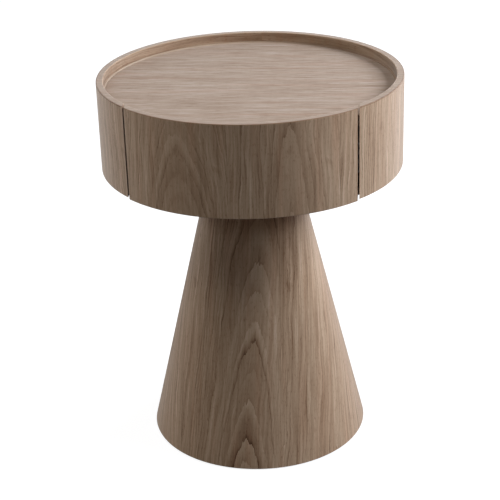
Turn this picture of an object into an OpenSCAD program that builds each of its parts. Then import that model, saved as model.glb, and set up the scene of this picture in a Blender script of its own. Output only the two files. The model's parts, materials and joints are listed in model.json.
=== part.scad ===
// Round nightstand: a drum with a tray top and one drawer, on a cone-shaped pedestal.
// Millimetres. The origin is on the floor under the drum's axis, +Z is up,
// and the drawer opens towards -Y.

/* [Drum] */
// Outside diameter of the drum
drum_d = 470; // [430:1:560]
// Height of the drum, from its underside to the top of the lip
drum_h = 141; // [130:1:200]
// Thickness of the bent band that forms the drum's wall and lip
band_t = 11; // [8:0.5:14]
// Depth of the tray below the top of the lip
lip_h = 17; // [8:0.5:24]
// Thickness of the tray panel
tray_t = 16; // [12:0.5:20]
// Radius of the cove along the tray's bead
bead_r = 2; // [1:0.1:4]
// Width of the bead's top, beside the lip
bead_land = 0.4; // [0.2:0.1:1]
// How deep the bead is let into the tray panel
bead_in = 1.5; // [0.5:0.1:3]
// Thickness of the drum's floor panel
floor_t = 15; // [12:0.5:18]
// Radius of the rounded edges
edge_r = 1.2; // [0.4:0.1:2]

/* [Pedestal] */
// Height of the whole nightstand
overall_h = 602; // [500:1:700]
// Diameter of the cone where it meets the drum
neck_d = 130; // [118:1:180]
// Diameter of the cone at its lower edge
foot_d = 351; // [280:1:420]
// Wall of the cone, measured level
cone_wall = 12; // [8:0.5:16]
// Thickness of the disc that closes the neck
neck_t = 18; // [15:1:30]
// Thickness of the ring inside the foot
foot_ring_t = 18; // [14:1:30]
// Width of the ring inside the foot
foot_ring_w = 48; // [42:1:70]
// Height of the foot ring above the cone's lower edge
foot_recess = 3; // [1:0.5:10]
// Thickness of the former ring
former_t = 15; // [9:1:30]
// Width of the former ring
former_w = 24; // [15:1:45]
// Height of the former ring above the cone's lower edge
former_up = 220; // [80:1:300]
// Height of the cone's lower edge above the floor
glide_reveal = 1.5; // [0.5:0.5:5]
// Diameter of a floor glide
glide_d = 22; // [14:1:30]
// Distance from the cone's wall to the middle of a glide
glide_inset = 26; // [16:1:30]
// Diameter of a glide's pin
pin_d = 4; // [3:0.5:6]
// Length of a glide's pin
pin_l = 12; // [8:1:13]

/* [Carcass inside the drum] */
// Thickness of the partitions that carry the runners
partition_t = 12; // [9:0.5:15]
// Gap between the drawer opening and a partition
partition_gap = 0.75; // [0.5:0.25:3]
// Thickness of the panel behind the drawer
back_panel_t = 15; // [12:0.5:18]
// Diameter of the drawer's bumpers
bumper_d = 12; // [8:0.5:14]
// Thickness of the drawer's bumpers
bumper_l = 5.6; // [3:0.2:8]
// Width and height of a glue block
block = 22; // [15:1:25]
// Length of a glue block
block_l = 40; // [20:1:50]

/* [Drawer] */
// Distance from the drum's side to the middle of the seam beside the drawer front
front_inset = 66; // [62:1:105]
// Width of each seam beside the drawer front
seam = 2.5; // [1.5:0.25:4]
// How far the drawer front stops below the top of the lip
front_top_drop = 1; // [0:0.25:3]
// How far the drawer front hangs below the drum
front_hang = 2; // [0:0.25:5]
// Gap between the drawer front and the panels behind it
front_gap = 1.5; // [0.8:0.1:4]
// Thickness of the drawer's sides
side_t = 12; // [9:0.5:16]
// Thickness of the drawer's back
back_t = 12; // [9:0.5:16]
// How far the drawer's back stands in from the ends of the sides
back_inset = 6; // [2:0.5:12]
// Thickness of the drawer's bottom
bottom_t = 6; // [4:0.5:9]
// Height of the drawer's bottom above the lower edge of its sides
bottom_up = 8; // [6:0.5:14]
// Depth of the grooves that hold the drawer's back and bottom
groove = 5; // [3:0.5:6]
// Gap over the drawer box
box_top_gap = 6; // [3:0.5:12]
// Gap under the drawer box
box_under_gap = 9; // [4:0.5:14]
// Width of the blocks in the front corners
corner_w = 20; // [15:1:30]
// Distance from the top of the sides down to those blocks
corner_top_gap = 8; // [2:1:20]
// Width of the cleat under the front edge of the bottom
cleat_w = 12; // [8:1:20]

/* [Runners] */
// Length of the ball-bearing runners
runner_l = 250; // [200:5:255]
// How far the drawer slides out
travel = 240; // [120:5:245]
// Thickness of a runner, from the partition to the drawer
runner_t = 12.7; // [12.5:0.1:16]
// Height of a runner
runner_h = 45; // [40:0.5:52]
// Height of a runner's middle above the lower edge of the drawer's sides
runner_up = 33; // [27:1:44]
// Distance of the runners behind the inside of the band
runner_setback = 3; // [1:0.5:6]
// Thickness of the runner's steel
steel = 1.2; // [1:0.1:1.4]
// Depth of the rail on the partition
cabinet_rail_t = 9; // [8:0.5:10]
// Diameter of the runner's balls
ball_d = 3.2; // [2.6:0.1:3.6]
// Number of balls in one row
balls = 8; // [4:1:12]
// Thickness of a ball cage
cage_t = 0.6; // [0.4:0.1:0.8]

/* [Fasteners] */
// Diameter of the bolts between drum and pedestal
bolt_d = 8; // [6:0.5:9]
// Length of those bolts under the head
bolt_l = 30; // [24:1:32]
// Diameter of their heads
bolt_head_d = 13; // [11:0.5:15]
// Height of their heads
bolt_head_h = 5; // [4:0.5:8]
// Radius of the circle that they stand on
bolt_circle_r = 32; // [24:1:38]
// Diameter of their washers
washer_d = 20; // [16:1:24]
// Thickness of their washers
washer_t = 1.6; // [1:0.1:2.5]
// Wall of their threaded inserts
insert_wall = 2; // [1:0.5:3]
// Length of their threaded inserts
insert_l = 14; // [10:1:15]
// Diameter of the dowels
dowel_d = 6; // [5:0.5:8]
// Depth of a dowel in the tray panel or the floor panel
dowel_in_panel = 10; // [6:0.5:10]
// Depth of a dowel in an upright
dowel_in_upright = 18; // [10:1:30]
// Distance of a partition's dowels from its middle
dowel_y = 80; // [30:1:100]
// Distance of the back panel's dowels from its middle
dowel_x = 110; // [40:1:120]
// Diameter of the screws
screw_d = 3.5; // [3:0.1:4]
// Diameter of their heads
screw_head_d = 7; // [6:0.5:8]
// Length of the runners' screws in the wood
runner_screw_l = 8; // [5:0.5:8]
// Distance of a runner's end screws from its ends
runner_screw_end = 32; // [15:1:60]

/* [Hidden] */
$fn = 120;
small_fn = 32;

// Clearances
glue = 0.1;       // between glued pieces
fit_r = 0.05;     // round a shank, dowel or insert, on the radius
loose_r = 0.3;    // round a bolt or screw that passes through, on the radius
run = 0.1;        // between a ball and what it rolls on
free = 0.4;       // between pieces that pass each other
over = 1;         // how far a cut runs past the face it starts from

// Drum
drum_r = drum_d / 2;
band_ri = drum_r - band_t;
panel_r = band_ri - glue;
z_top = overall_h;
z_drum = z_top - drum_h;
z_tray = z_top - lip_h;
z_tray_under = z_tray - tray_t;
z_floor = z_drum + floor_t;
bead_x = panel_r - bead_land - bead_r;
edge_steps = 4;
bead_steps = 6;

// Drawer opening
front_half = drum_r - front_inset - seam / 2;
opening_half = drum_r - front_inset + seam / 2;
partition_x = opening_half + partition_gap;

// Runners. Places across a runner are counted from the partition towards the drawer.
runner_y = runner_setback - sqrt(pow(band_ri, 2) - pow(partition_x, 2));
runner_end = runner_y + runner_l;
runner_screw_at = [runner_screw_end, runner_l / 2, runner_l - runner_screw_end];
screw_head_h = 1.6;
ball_gap = ball_d + 2 * run;
cabinet_half = runner_h / 2;
middle_half = cabinet_half - steel - ball_gap;
drawer_half = middle_half - steel - ball_gap;
outer_cage_at = steel + screw_head_h + free;
middle_at = outer_cage_at + cage_t + free;
inner_cage_at = middle_at + steel + free;
drawer_at = inner_cage_at + cage_t + free;
middle_to = runner_t - steel - free;
outer_ball_at = (middle_at + cabinet_rail_t) / 2;
inner_ball_at = (drawer_at + middle_to) / 2;
outer_ball_up = middle_half + ball_gap / 2;
inner_ball_up = drawer_half + ball_gap / 2;

// The middle rail goes half as far as the drawer, and a cage goes half as far
// as that against each of its two rails. A cage stays between both all the way.
cage_spare = 6;
cage_l = runner_l - travel / 2 - 2 * cage_spare;
cage_y = runner_y + travel / 4 + cage_spare;

// Drawer box
box_x = partition_x - runner_t;
box_z = z_floor + box_under_gap;
box_top = z_tray_under - box_top_gap;
box_h = box_top - box_z;
box_end = runner_end;
inside_x = box_x - side_t;
bottom_z = box_z + bottom_up;
back_y = box_end - back_inset - back_t;
runner_z = box_z + runner_up;
corner_z = bottom_z + bottom_t + glue;
corner_h = box_top - corner_top_gap - corner_z;
corner_x = inside_x - glue - corner_w / 2;
corner_y = corner_w - sqrt(pow(band_ri, 2) - pow(inside_x, 2));
front_screw_l = corner_y + sqrt(pow(band_ri, 2) - pow(corner_x, 2)) + band_t / 2;

// Panel behind the drawer
back_panel_y = box_end + free + bumper_l;
bumper_z = box_z + box_h / 2;

// Glue blocks, as angles round the drum from its right side
block_angles = [-8, 8, 60, 90, 120, 172, 188];

// Pedestal
neck_r = neck_d / 2;
foot_r = foot_d / 2;
z_foot = glide_reveal;
cone_h = z_drum - z_foot;
cone_lean = atan((foot_r - neck_r) / cone_h);
z_ring = z_foot + foot_recess;
z_former = z_foot + former_up;
glide_circle_r = foot_r - cone_wall - glide_inset;
insert_r = bolt_d / 2 + insert_wall;

// Screws
screw_tip = 3;
drive_d = screw_d * 0.7;

// Colours
veneer = [0.47, 0.39, 0.32];
tray_veneer = [0.60, 0.53, 0.46];
plywood = [0.72, 0.62, 0.48];
fibreboard = [0.55, 0.46, 0.36];
beech = [0.80, 0.66, 0.48];
zinc = [0.72, 0.73, 0.75];
brass = [0.75, 0.60, 0.30];
white_nylon = [0.88, 0.88, 0.86];
black_rubber = [0.12, 0.12, 0.12];

// Outside radius of the cone at a height
function cone_r(z) = foot_r + (neck_r - foot_r) * (z - z_foot) / cone_h;

// Points of a quarter circle that starts at an angle
function quarter(x, z, r, start, steps) =
  [for (i = [0:steps]) let (a = start + 90 * i / steps) [x + r * cos(a), z + r * sin(a)]];

// Adds the mirror image on the left
module both_sides() {
  children();
  mirror([1, 0, 0]) children();
}

// Only the mirror image, on the left
module on_left() {
  mirror([1, 0, 0]) children();
}

// A block as wide as the drawer front or its opening, from the drum's middle to the front
module opening_block(half, z0, z1) {
  translate([-half, -drum_r - over, z0]) cube([2 * half, drum_r + over, z1 - z0]);
}

// The inside of the band, less the gap for glue
module inside_band(z0, z1) {
  translate([0, 0, z0]) cylinder(r = panel_r, h = z1 - z0);
}

// The bent band all the way round, its four edges rounded
module band_ring(z0, z1) {
  inner = band_ri + edge_r;
  outer = drum_r - edge_r;
  low = z0 + edge_r;
  high = z1 - edge_r;
  rotate_extrude()
    polygon(concat(
      quarter(inner, low, edge_r, 180, edge_steps), quarter(outer, low, edge_r, 270, edge_steps),
      quarter(outer, high, edge_r, 0, edge_steps), quarter(inner, high, edge_r, 90, edge_steps)
    ));
}

// The drum's wall and lip, open where the drawer is
module side_band() {
  color(veneer)
    difference() {
      band_ring(z_drum, z_top);
      opening_block(opening_half, z_drum - over, z_top + over);
    }
}

// What comes off the front of a panel so that the drawer front clears it
module front_clearance(z0, z1) {
  difference() {
    opening_block(opening_half, z0, z1);
    translate([0, 0, z0 - over]) cylinder(r = band_ri - front_gap, h = z1 - z0 + 2 * over);
  }
}

// Middles of the dowels in both partitions
module at_partition_dowels() {
  for (side = [-1, 1], y = [-dowel_y, dowel_y])
    translate([side * (partition_x + partition_t / 2), y, 0]) children();
}

// Middles of the dowels in the back panel
module at_back_dowels() {
  for (x = [-dowel_x, dowel_x])
    translate([x, back_panel_y + back_panel_t / 2, 0]) children();
}

// A hole for a dowel, up from a height
module dowel_hole(z0, depth) {
  translate([0, 0, z0]) cylinder(d = dowel_d + 2 * fit_r, h = depth, $fn = small_fn);
}

// Dowel holes that open at the floor panel's top and at the tray panel's underside
module panel_dowel_holes() {
  dowel_hole(z_floor - dowel_in_panel, dowel_in_panel + over);
  dowel_hole(z_tray_under - over, dowel_in_panel + over);
}

module upright_dowel_holes() {
  dowel_hole(z_floor - over, dowel_in_upright + over);
  dowel_hole(z_tray_under - dowel_in_upright, dowel_in_upright + over);
}

// The tray, with a step round its edge for the bead
module tray_panel() {
  color(tray_veneer)
    difference() {
      inside_band(z_tray_under, z_tray);
      front_clearance(z_tray_under - over, z_tray + over);
      difference() {
        translate([0, 0, z_tray - bead_in]) cylinder(r = panel_r + over, h = bead_in + over);
        translate([0, 0, z_tray - bead_in - over])
          cylinder(r = bead_x - glue, h = bead_in + 3 * over);
        opening_block(opening_half, z_tray_under, z_tray + 2 * over);
      }
      at_partition_dowels() panel_dowel_holes();
      at_back_dowels() panel_dowel_holes();
    }
}

// Small cove bead let into the tray's edge, along the side band
module tray_bead() {
  z0 = z_tray - bead_in + glue;
  z1 = z_tray + bead_r;
  cove = quarter(bead_x, z1, bead_r, 270, bead_steps);
  color(tray_veneer)
    difference() {
      rotate_extrude() polygon(concat([[bead_x, z0]], cove, [[panel_r, z1], [panel_r, z0]]));
      opening_block(opening_half + glue, z0 - over, z1 + over);
    }
}

// Places of the bolts through the neck
module at_bolts() {
  for (a = [45:90:315])
    rotate([0, 0, a]) translate([bolt_circle_r, 0, 0]) children();
}

module bolt_hole(z0, depth) {
  translate([0, 0, z0]) cylinder(r = bolt_d / 2 + loose_r, h = depth, $fn = small_fn);
}

// The drum's floor, bolted down to the pedestal
module drum_floor() {
  color(fibreboard)
    difference() {
      inside_band(z_drum, z_floor);
      front_clearance(z_drum - over, z_floor + over);
      at_partition_dowels() panel_dowel_holes();
      at_back_dowels() panel_dowel_holes();
      at_bolts() bolt_hole(z_drum - over, floor_t + 2 * over);
    }
}

// Upright that carries one runner, its ends cut to the curve of the band
module right_partition() {
  color(plywood)
    difference() {
      intersection() {
        translate([partition_x, -drum_r, z_floor])
          cube([partition_t, drum_d, z_tray_under - z_floor]);
        inside_band(z_floor - over, z_tray_under + over);
      }
      at_partition_dowels() upright_dowel_holes();
      at_cabinet_screws() screw_hole(runner_screw_l + steel);
    }
}

module left_partition() {
  on_left() right_partition();
}

// Panel behind the drawer that ties the partitions together
module back_panel() {
  half = partition_x - glue;
  color(plywood)
    difference() {
      intersection() {
        translate([-half, back_panel_y, z_floor])
          cube([2 * half, back_panel_t, z_tray_under - z_floor]);
        inside_band(z_floor - over, z_tray_under + over);
      }
      at_back_dowels() upright_dowel_holes();
    }
}

module dowel_pair() {
  length = dowel_in_panel + dowel_in_upright;
  translate([0, 0, z_floor - dowel_in_panel]) cylinder(d = dowel_d, h = length, $fn = small_fn);
  translate([0, 0, z_tray_under - dowel_in_upright])
    cylinder(d = dowel_d, h = length, $fn = small_fn);
}

// Dowels between the uprights and both panels
module carcass_dowels() {
  color(beech) {
    at_partition_dowels() dowel_pair();
    at_back_dowels() dowel_pair();
  }
}

// Rubber bumpers that the ends of the drawer's sides close against
module drawer_bumpers() {
  color(black_rubber)
    both_sides()
      translate([box_x - side_t / 2, back_panel_y, bumper_z]) rotate([90, 0, 0])
        cylinder(d = bumper_d, h = bumper_l, $fn = small_fn);
}

// Blocks glued into the corner between the band and one panel
module glue_blocks(z0) {
  color(plywood)
    for (a = block_angles)
      intersection() {
        rotate([0, 0, a])
          translate([band_ri - block, -block_l / 2, z0]) cube([block, block_l, block]);
        inside_band(z0 - over, z0 + block + over);
      }
}

module upper_glue_blocks() {
  glue_blocks(z_tray_under - block);
}

module lower_glue_blocks() {
  glue_blocks(z_floor);
}

// The veneered cone, rounded where it comes down to the floor
module cone_shell() {
  round_x = foot_r - edge_r * (1 + sin(cone_lean)) / cos(cone_lean);
  turn = 90 + cone_lean;
  rim = [
    for (i = [0:edge_steps]) let (a = turn * i / edge_steps - 90)
      [round_x + edge_r * cos(a), z_foot + edge_r * (1 + sin(a))]
  ];
  color(veneer)
    rotate_extrude()
      polygon(concat([[foot_r - cone_wall, z_foot]], rim,
        [[neck_r, z_drum], [neck_r - cone_wall, z_drum]]));
}

// A disc or ring whose rim follows the inside of the cone
module cone_ring(z0, thick, hole_r) {
  low_r = cone_r(z0) - cone_wall - glue;
  high_r = cone_r(z0 + thick) - cone_wall - glue;
  rotate_extrude()
    polygon([[hole_r, z0], [low_r, z0], [high_r, z0 + thick], [hole_r, z0 + thick]]);
}

module neck_disc() {
  color(plywood)
    difference() {
      cone_ring(z_drum - neck_t, neck_t, 0);
      at_bolts() translate([0, 0, z_drum - insert_l])
        cylinder(r = insert_r + fit_r, h = insert_l + over, $fn = small_fn);
      at_bolts() bolt_hole(z_drum - neck_t - over, neck_t + over);
    }
}

module former_ring() {
  color(plywood) cone_ring(z_former, former_t, cone_r(z_former) - cone_wall - former_w);
}

// Places of the floor glides
module at_glides() {
  for (a = [45:90:315])
    rotate([0, 0, a]) translate([glide_circle_r, 0, 0]) children();
}

module foot_ring() {
  color(fibreboard)
    difference() {
      cone_ring(z_ring, foot_ring_t, cone_r(z_ring) - cone_wall - foot_ring_w);
      at_glides() translate([0, 0, z_ring - over])
        cylinder(r = pin_d / 2 + fit_r, h = pin_l + over + fit_r, $fn = small_fn);
    }
}

// Glides that the nightstand stands on, each with a pin up into the foot ring
module floor_glides() {
  bevel = min(1, z_ring / 2);
  color(white_nylon)
    at_glides() {
      cylinder(d1 = glide_d - 2 * bevel, d2 = glide_d, h = bevel, $fn = 48);
      translate([0, 0, bevel]) cylinder(d = glide_d, h = z_ring - bevel, $fn = 48);
      cylinder(d = pin_d, h = z_ring + pin_l, $fn = small_fn);
    }
}

module threaded_inserts() {
  color(brass)
    at_bolts() translate([0, 0, z_drum - insert_l])
      difference() {
        cylinder(r = insert_r, h = insert_l, $fn = small_fn);
        translate([0, 0, -over])
          cylinder(r = bolt_d / 2 + fit_r, h = insert_l + 2 * over, $fn = small_fn);
      }
}

module bolt_washers() {
  color(zinc)
    at_bolts()
      difference() {
        translate([0, 0, z_floor]) cylinder(d = washer_d, h = washer_t, $fn = 48);
        bolt_hole(z_floor - over, washer_t + 2 * over);
      }
}

// Bolts that hold the drum on the pedestal, reached with the drawer taken out
module neck_bolts() {
  key_d = bolt_d * 0.7;
  key_deep = bolt_head_h * 0.6;
  color(zinc)
    at_bolts() translate([0, 0, z_floor + washer_t])
      difference() {
        union() {
          translate([0, 0, -bolt_l]) cylinder(d = bolt_d, h = bolt_l + over, $fn = small_fn);
          cylinder(d = bolt_head_d, h = bolt_head_h, $fn = small_fn);
        }
        translate([0, 0, bolt_head_h - key_deep]) cylinder(d = key_d, h = key_deep + over, $fn = 6);
      }
}

// Shank and point of a screw, along +Z
module screw_shank(length) {
  cylinder(d = screw_d, h = length - screw_tip, $fn = small_fn);
  translate([0, 0, length - screw_tip])
    cylinder(d1 = screw_d, d2 = screw_d / 6, h = screw_tip, $fn = small_fn);
}

// A screw whose flat head stands on the steel that it holds
module runner_screw() {
  difference() {
    union() {
      screw_shank(runner_screw_l + steel);
      translate([0, 0, -screw_head_h]) cylinder(d = screw_head_d, h = screw_head_h, $fn = small_fn);
    }
    translate([0, 0, -screw_head_h - over]) cylinder(d = drive_d, h = over + screw_head_h, $fn = 6);
  }
}

// A screw whose head is sunk into the wood
module sunk_screw(length) {
  difference() {
    union() {
      screw_shank(length);
      cylinder(d1 = screw_head_d, d2 = screw_d, h = screw_head_d / 3, $fn = small_fn);
    }
    translate([0, 0, -over]) cylinder(d = drive_d, h = over + screw_head_h, $fn = 6);
  }
}

module screw_hole(length) {
  translate([0, 0, -over])
    cylinder(r = screw_d / 2 + fit_r, h = length + over + fit_r, $fn = small_fn);
}

module sunk_screw_hole(length) {
  screw_hole(length);
  wide = screw_head_d + 2 * fit_r;
  cylinder(d1 = wide, d2 = screw_d + 2 * fit_r, h = screw_head_d / 3, $fn = small_fn);
}

// A channel along the right runner, open towards the drawer
module outward_channel(half, from, to) {
  bend = steel / 2;
  shape = [
    [from + bend, -half], [to, -half], [to, steel - half], [from + steel, steel - half],
    [from + steel, half - steel], [to, half - steel], [to, half], [from + bend, half],
    [from, half - bend], [from, bend - half]
  ];
  runner_bar(runner_y, runner_l, shape);
}

// A channel along the right runner, open towards the partition
module inward_channel(half, from, to) {
  bend = steel / 2;
  shape = [
    [to - bend, -half], [from, -half], [from, steel - half], [to - steel, steel - half],
    [to - steel, half - steel], [from, half - steel], [from, half], [to - bend, half],
    [to, half - bend], [to, bend - half]
  ];
  runner_bar(runner_y, runner_l, shape);
}

// A bar along the right runner with the given cross-section
module runner_bar(y0, length, shape) {
  translate([partition_x, y0 + length, runner_z]) rotate([90, 0, 0])
    linear_extrude(height = length) polygon([for (p = shape) [-p[0], p[1]]]);
}

// Screws of the right cabinet rail, pointing into the partition
module at_cabinet_screws() {
  for (s = runner_screw_at)
    translate([partition_x - steel, runner_y + s, runner_z]) rotate([0, 90, 0]) children();
}

// Screws of the right drawer rail, pointing into the drawer's side
module at_drawer_screws() {
  for (s = runner_screw_at)
    translate([box_x + steel, runner_y + s, runner_z]) rotate([0, -90, 0]) children();
}

module loose_screw_hole() {
  translate([0, 0, -over]) cylinder(r = screw_d / 2 + loose_r, h = steel + 2 * over, $fn = small_fn);
}

module right_cabinet_rail() {
  color(zinc)
    difference() {
      outward_channel(cabinet_half, 0, cabinet_rail_t);
      at_cabinet_screws() loose_screw_hole();
    }
}

module left_cabinet_rail() {
  on_left() right_cabinet_rail();
}

module cabinet_rail_screws() {
  color(zinc) both_sides() at_cabinet_screws() runner_screw();
}

module right_middle_rail() {
  color(zinc) outward_channel(middle_half, middle_at, middle_to);
}

module left_middle_rail() {
  on_left() right_middle_rail();
}

module right_drawer_rail() {
  color(zinc)
    difference() {
      inward_channel(drawer_half, drawer_at, runner_t);
      at_drawer_screws() loose_screw_hole();
    }
}

module left_drawer_rail() {
  on_left() right_drawer_rail();
}

module drawer_rail_screws() {
  color(zinc) both_sides() at_drawer_screws() runner_screw();
}

// Middles of the balls in the two rows of one right cage
module at_balls(ball_at, up) {
  pitch = cage_l / balls;
  for (i = [0:balls - 1], z = [-up, up])
    translate([partition_x - ball_at, cage_y + (i + 0.5) * pitch, runner_z + z]) children();
}

// A cage for two rows of balls, with a hole round each ball
module cage(from, to, ball_at, up) {
  half = up + cage_t / 2;
  shape = [
    [from, -half], [to, -half], [to, cage_t - half], [from + cage_t, cage_t - half],
    [from + cage_t, half - cage_t], [to, half - cage_t], [to, half], [from, half]
  ];
  color(white_nylon)
    difference() {
      runner_bar(cage_y, cage_l, shape);
      at_balls(ball_at, up) cylinder(d = ball_gap, h = 2 * cage_t, center = true, $fn = small_fn);
    }
}

module ball_rows(ball_at, up) {
  color(zinc) at_balls(ball_at, up) sphere(d = ball_d, $fn = small_fn);
}

module right_outer_cage() {
  cage(outer_cage_at, cabinet_rail_t - free, outer_ball_at, outer_ball_up);
}

module right_inner_cage() {
  cage(inner_cage_at, middle_to - free, inner_ball_at, inner_ball_up);
}

module right_outer_balls() {
  ball_rows(outer_ball_at, outer_ball_up);
}

module right_inner_balls() {
  ball_rows(inner_ball_at, inner_ball_up);
}

module left_outer_cage() {
  on_left() right_outer_cage();
}

module left_inner_cage() {
  on_left() right_inner_cage();
}

module left_outer_balls() {
  on_left() right_outer_balls();
}

module left_inner_balls() {
  on_left() right_inner_balls();
}

// Screws through the right corner block into the drawer front
module at_front_screws() {
  for (share = [0.25, 0.75])
    translate([corner_x, corner_y, corner_z + corner_h * share]) rotate([90, 0, 0]) children();
}

// The curved drawer front, cut from the same ring as the side band, lip and all
module drawer_front() {
  z0 = z_drum - front_hang;
  z1 = z_top - front_top_drop;
  color(veneer)
    difference() {
      intersection() {
        band_ring(z0, z1);
        opening_block(front_half, z0 - over, z1 + over);
      }
      both_sides() at_front_screws() screw_hole(front_screw_l);
    }
}

// Side of the drawer, its front end cut to the curve of the drawer front
module drawer_right_side() {
  color(plywood)
    difference() {
      intersection() {
        translate([inside_x, -drum_r, box_z]) cube([side_t, drum_r + box_end, box_h]);
        inside_band(box_z - over, box_top + over);
      }
      translate([inside_x - over, -drum_r, bottom_z - glue])
        cube([groove + over, drum_d, bottom_t + 2 * glue]);
      translate([inside_x - over, back_y - glue, box_z - over])
        cube([groove + over, back_t + 2 * glue, box_h + 2 * over]);
      at_drawer_screws() screw_hole(runner_screw_l + steel);
    }
}

module drawer_left_side() {
  on_left() drawer_right_side();
}

// Back of the drawer, held in grooves in the sides
module drawer_back() {
  half = inside_x + groove - glue;
  color(plywood)
    difference() {
      translate([-half, back_y, box_z]) cube([2 * half, back_t, box_h]);
      translate([-half - over, back_y - over, bottom_z - glue])
        cube([2 * (half + over), groove + over, bottom_t + 2 * glue]);
    }
}

// Bottom of the drawer, its front edge cut to the curve of the drawer front
module drawer_bottom() {
  half = inside_x + groove - glue;
  color(plywood)
    intersection() {
      translate([-half, -drum_r, bottom_z])
        cube([2 * half, drum_r + back_y + groove - glue, bottom_t]);
      inside_band(bottom_z - over, bottom_z + bottom_t + over);
    }
}

// Blocks that join the drawer's sides to the curved front
module front_corner_blocks() {
  color(plywood)
    both_sides()
      difference() {
        intersection() {
          translate([corner_x - corner_w / 2, -drum_r, corner_z])
            cube([corner_w, drum_r + corner_y, corner_h]);
          inside_band(corner_z - over, corner_z + corner_h + over);
        }
        at_front_screws() sunk_screw_hole(front_screw_l);
      }
}

module front_screws() {
  color(zinc) both_sides() at_front_screws() sunk_screw(front_screw_l);
}

// Curved cleat glued to the drawer front, under the edge of the bottom
module front_cleat() {
  color(plywood)
    intersection() {
      difference() {
        inside_band(box_z, bottom_z - glue);
        translate([0, 0, box_z - over]) cylinder(r = band_ri - cleat_w, h = bottom_up + 2 * over);
      }
      opening_block(inside_x - glue, box_z - over, bottom_z);
    }
}

side_band();
tray_panel();
tray_bead();
drum_floor();
left_partition();
right_partition();
back_panel();
carcass_dowels();
drawer_bumpers();
upper_glue_blocks();
lower_glue_blocks();
cone_shell();
neck_disc();
former_ring();
foot_ring();
floor_glides();
threaded_inserts();
bolt_washers();
neck_bolts();
left_cabinet_rail();
right_cabinet_rail();
cabinet_rail_screws();
left_middle_rail();
right_middle_rail();
left_outer_cage();
left_outer_balls();
left_inner_cage();
left_inner_balls();
right_outer_cage();
right_outer_balls();
right_inner_cage();
right_inner_balls();
drawer_front();
drawer_left_side();
drawer_right_side();
drawer_back();
drawer_bottom();
front_corner_blocks();
front_screws();
front_cleat();
left_drawer_rail();
right_drawer_rail();
drawer_rail_screws();
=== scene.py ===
# %% [markdown]
# # A round nightstand: veneer, light and small hardware
#
# The nightstand is a veneered drum with a lipped tray on top and one drawer in its front. It
# stands on a veneered cone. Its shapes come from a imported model, which is loaded first and
# never changed. This lesson adds what the model lacks: the camera, the light, the finish of
# every piece, and the small pieces whose threads, sockets and folds a plain model leaves out.

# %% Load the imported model
import json
import math

import bmesh
import bpy
from mathutils import Matrix, Vector

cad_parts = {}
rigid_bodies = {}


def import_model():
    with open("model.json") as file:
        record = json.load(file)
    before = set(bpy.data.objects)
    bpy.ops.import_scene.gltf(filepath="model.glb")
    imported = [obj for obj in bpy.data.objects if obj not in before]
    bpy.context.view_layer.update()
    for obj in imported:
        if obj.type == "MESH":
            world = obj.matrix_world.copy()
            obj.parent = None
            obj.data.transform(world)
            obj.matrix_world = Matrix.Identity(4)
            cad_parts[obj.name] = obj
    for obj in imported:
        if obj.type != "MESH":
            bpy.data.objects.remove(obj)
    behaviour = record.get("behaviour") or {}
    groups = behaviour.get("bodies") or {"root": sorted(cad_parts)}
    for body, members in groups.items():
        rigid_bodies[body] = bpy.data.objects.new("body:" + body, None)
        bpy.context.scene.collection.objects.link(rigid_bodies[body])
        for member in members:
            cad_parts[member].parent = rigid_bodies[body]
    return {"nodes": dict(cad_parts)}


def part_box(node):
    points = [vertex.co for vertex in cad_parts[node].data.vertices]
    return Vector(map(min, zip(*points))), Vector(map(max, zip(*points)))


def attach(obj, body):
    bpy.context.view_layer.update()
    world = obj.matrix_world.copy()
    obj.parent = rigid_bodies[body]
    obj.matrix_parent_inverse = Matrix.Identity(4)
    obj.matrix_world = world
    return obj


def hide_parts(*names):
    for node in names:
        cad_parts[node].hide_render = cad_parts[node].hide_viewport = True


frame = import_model()
nodes = frame["nodes"]
scene = bpy.context.scene
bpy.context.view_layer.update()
print("pieces in the model:", len(nodes))

# %% [markdown]
# Every length in this lesson is in millimetres, because a joiner thinks in them, and `MM` turns
# them into metres where Blender wants metres. The main sizes are read off the model's own
# boxes and not typed again, so the looks follow the model if it changes.

# %% Sizes read from the model
MM = 0.001


def box_mm(name):
    """Lowest and highest corner of a piece of the model, in millimetres."""
    low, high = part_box(name)
    return low / MM, high / MM


DRUM_RADIUS = box_mm("side_band")[1].x
BAND_INSIDE = box_mm("tray_panel")[1].x
CONE_RADIUS = box_mm("cone_shell")[1].x
CONE_FOOT, CONE_TOP = box_mm("cone_shell")[0].z, box_mm("cone_shell")[1].z
print("drum radius", round(DRUM_RADIUS, 2), "cone radius", round(CONE_RADIUS, 2))

# %% [markdown]
# ## Writing a finish as a sum
#
# A finish in Blender is a tree of nodes. Placed by hand, twenty Math nodes are hard to read.
# Here a small class wraps one socket, and the signs `+ - * / **` on it each add the Math node
# that does the sum. A finish then reads like a formula. Colours and vectors don't go through
# these signs, because a Math node would turn a colour grey. They have `blend` and `point`.

# %% A socket that goes into sums


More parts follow.
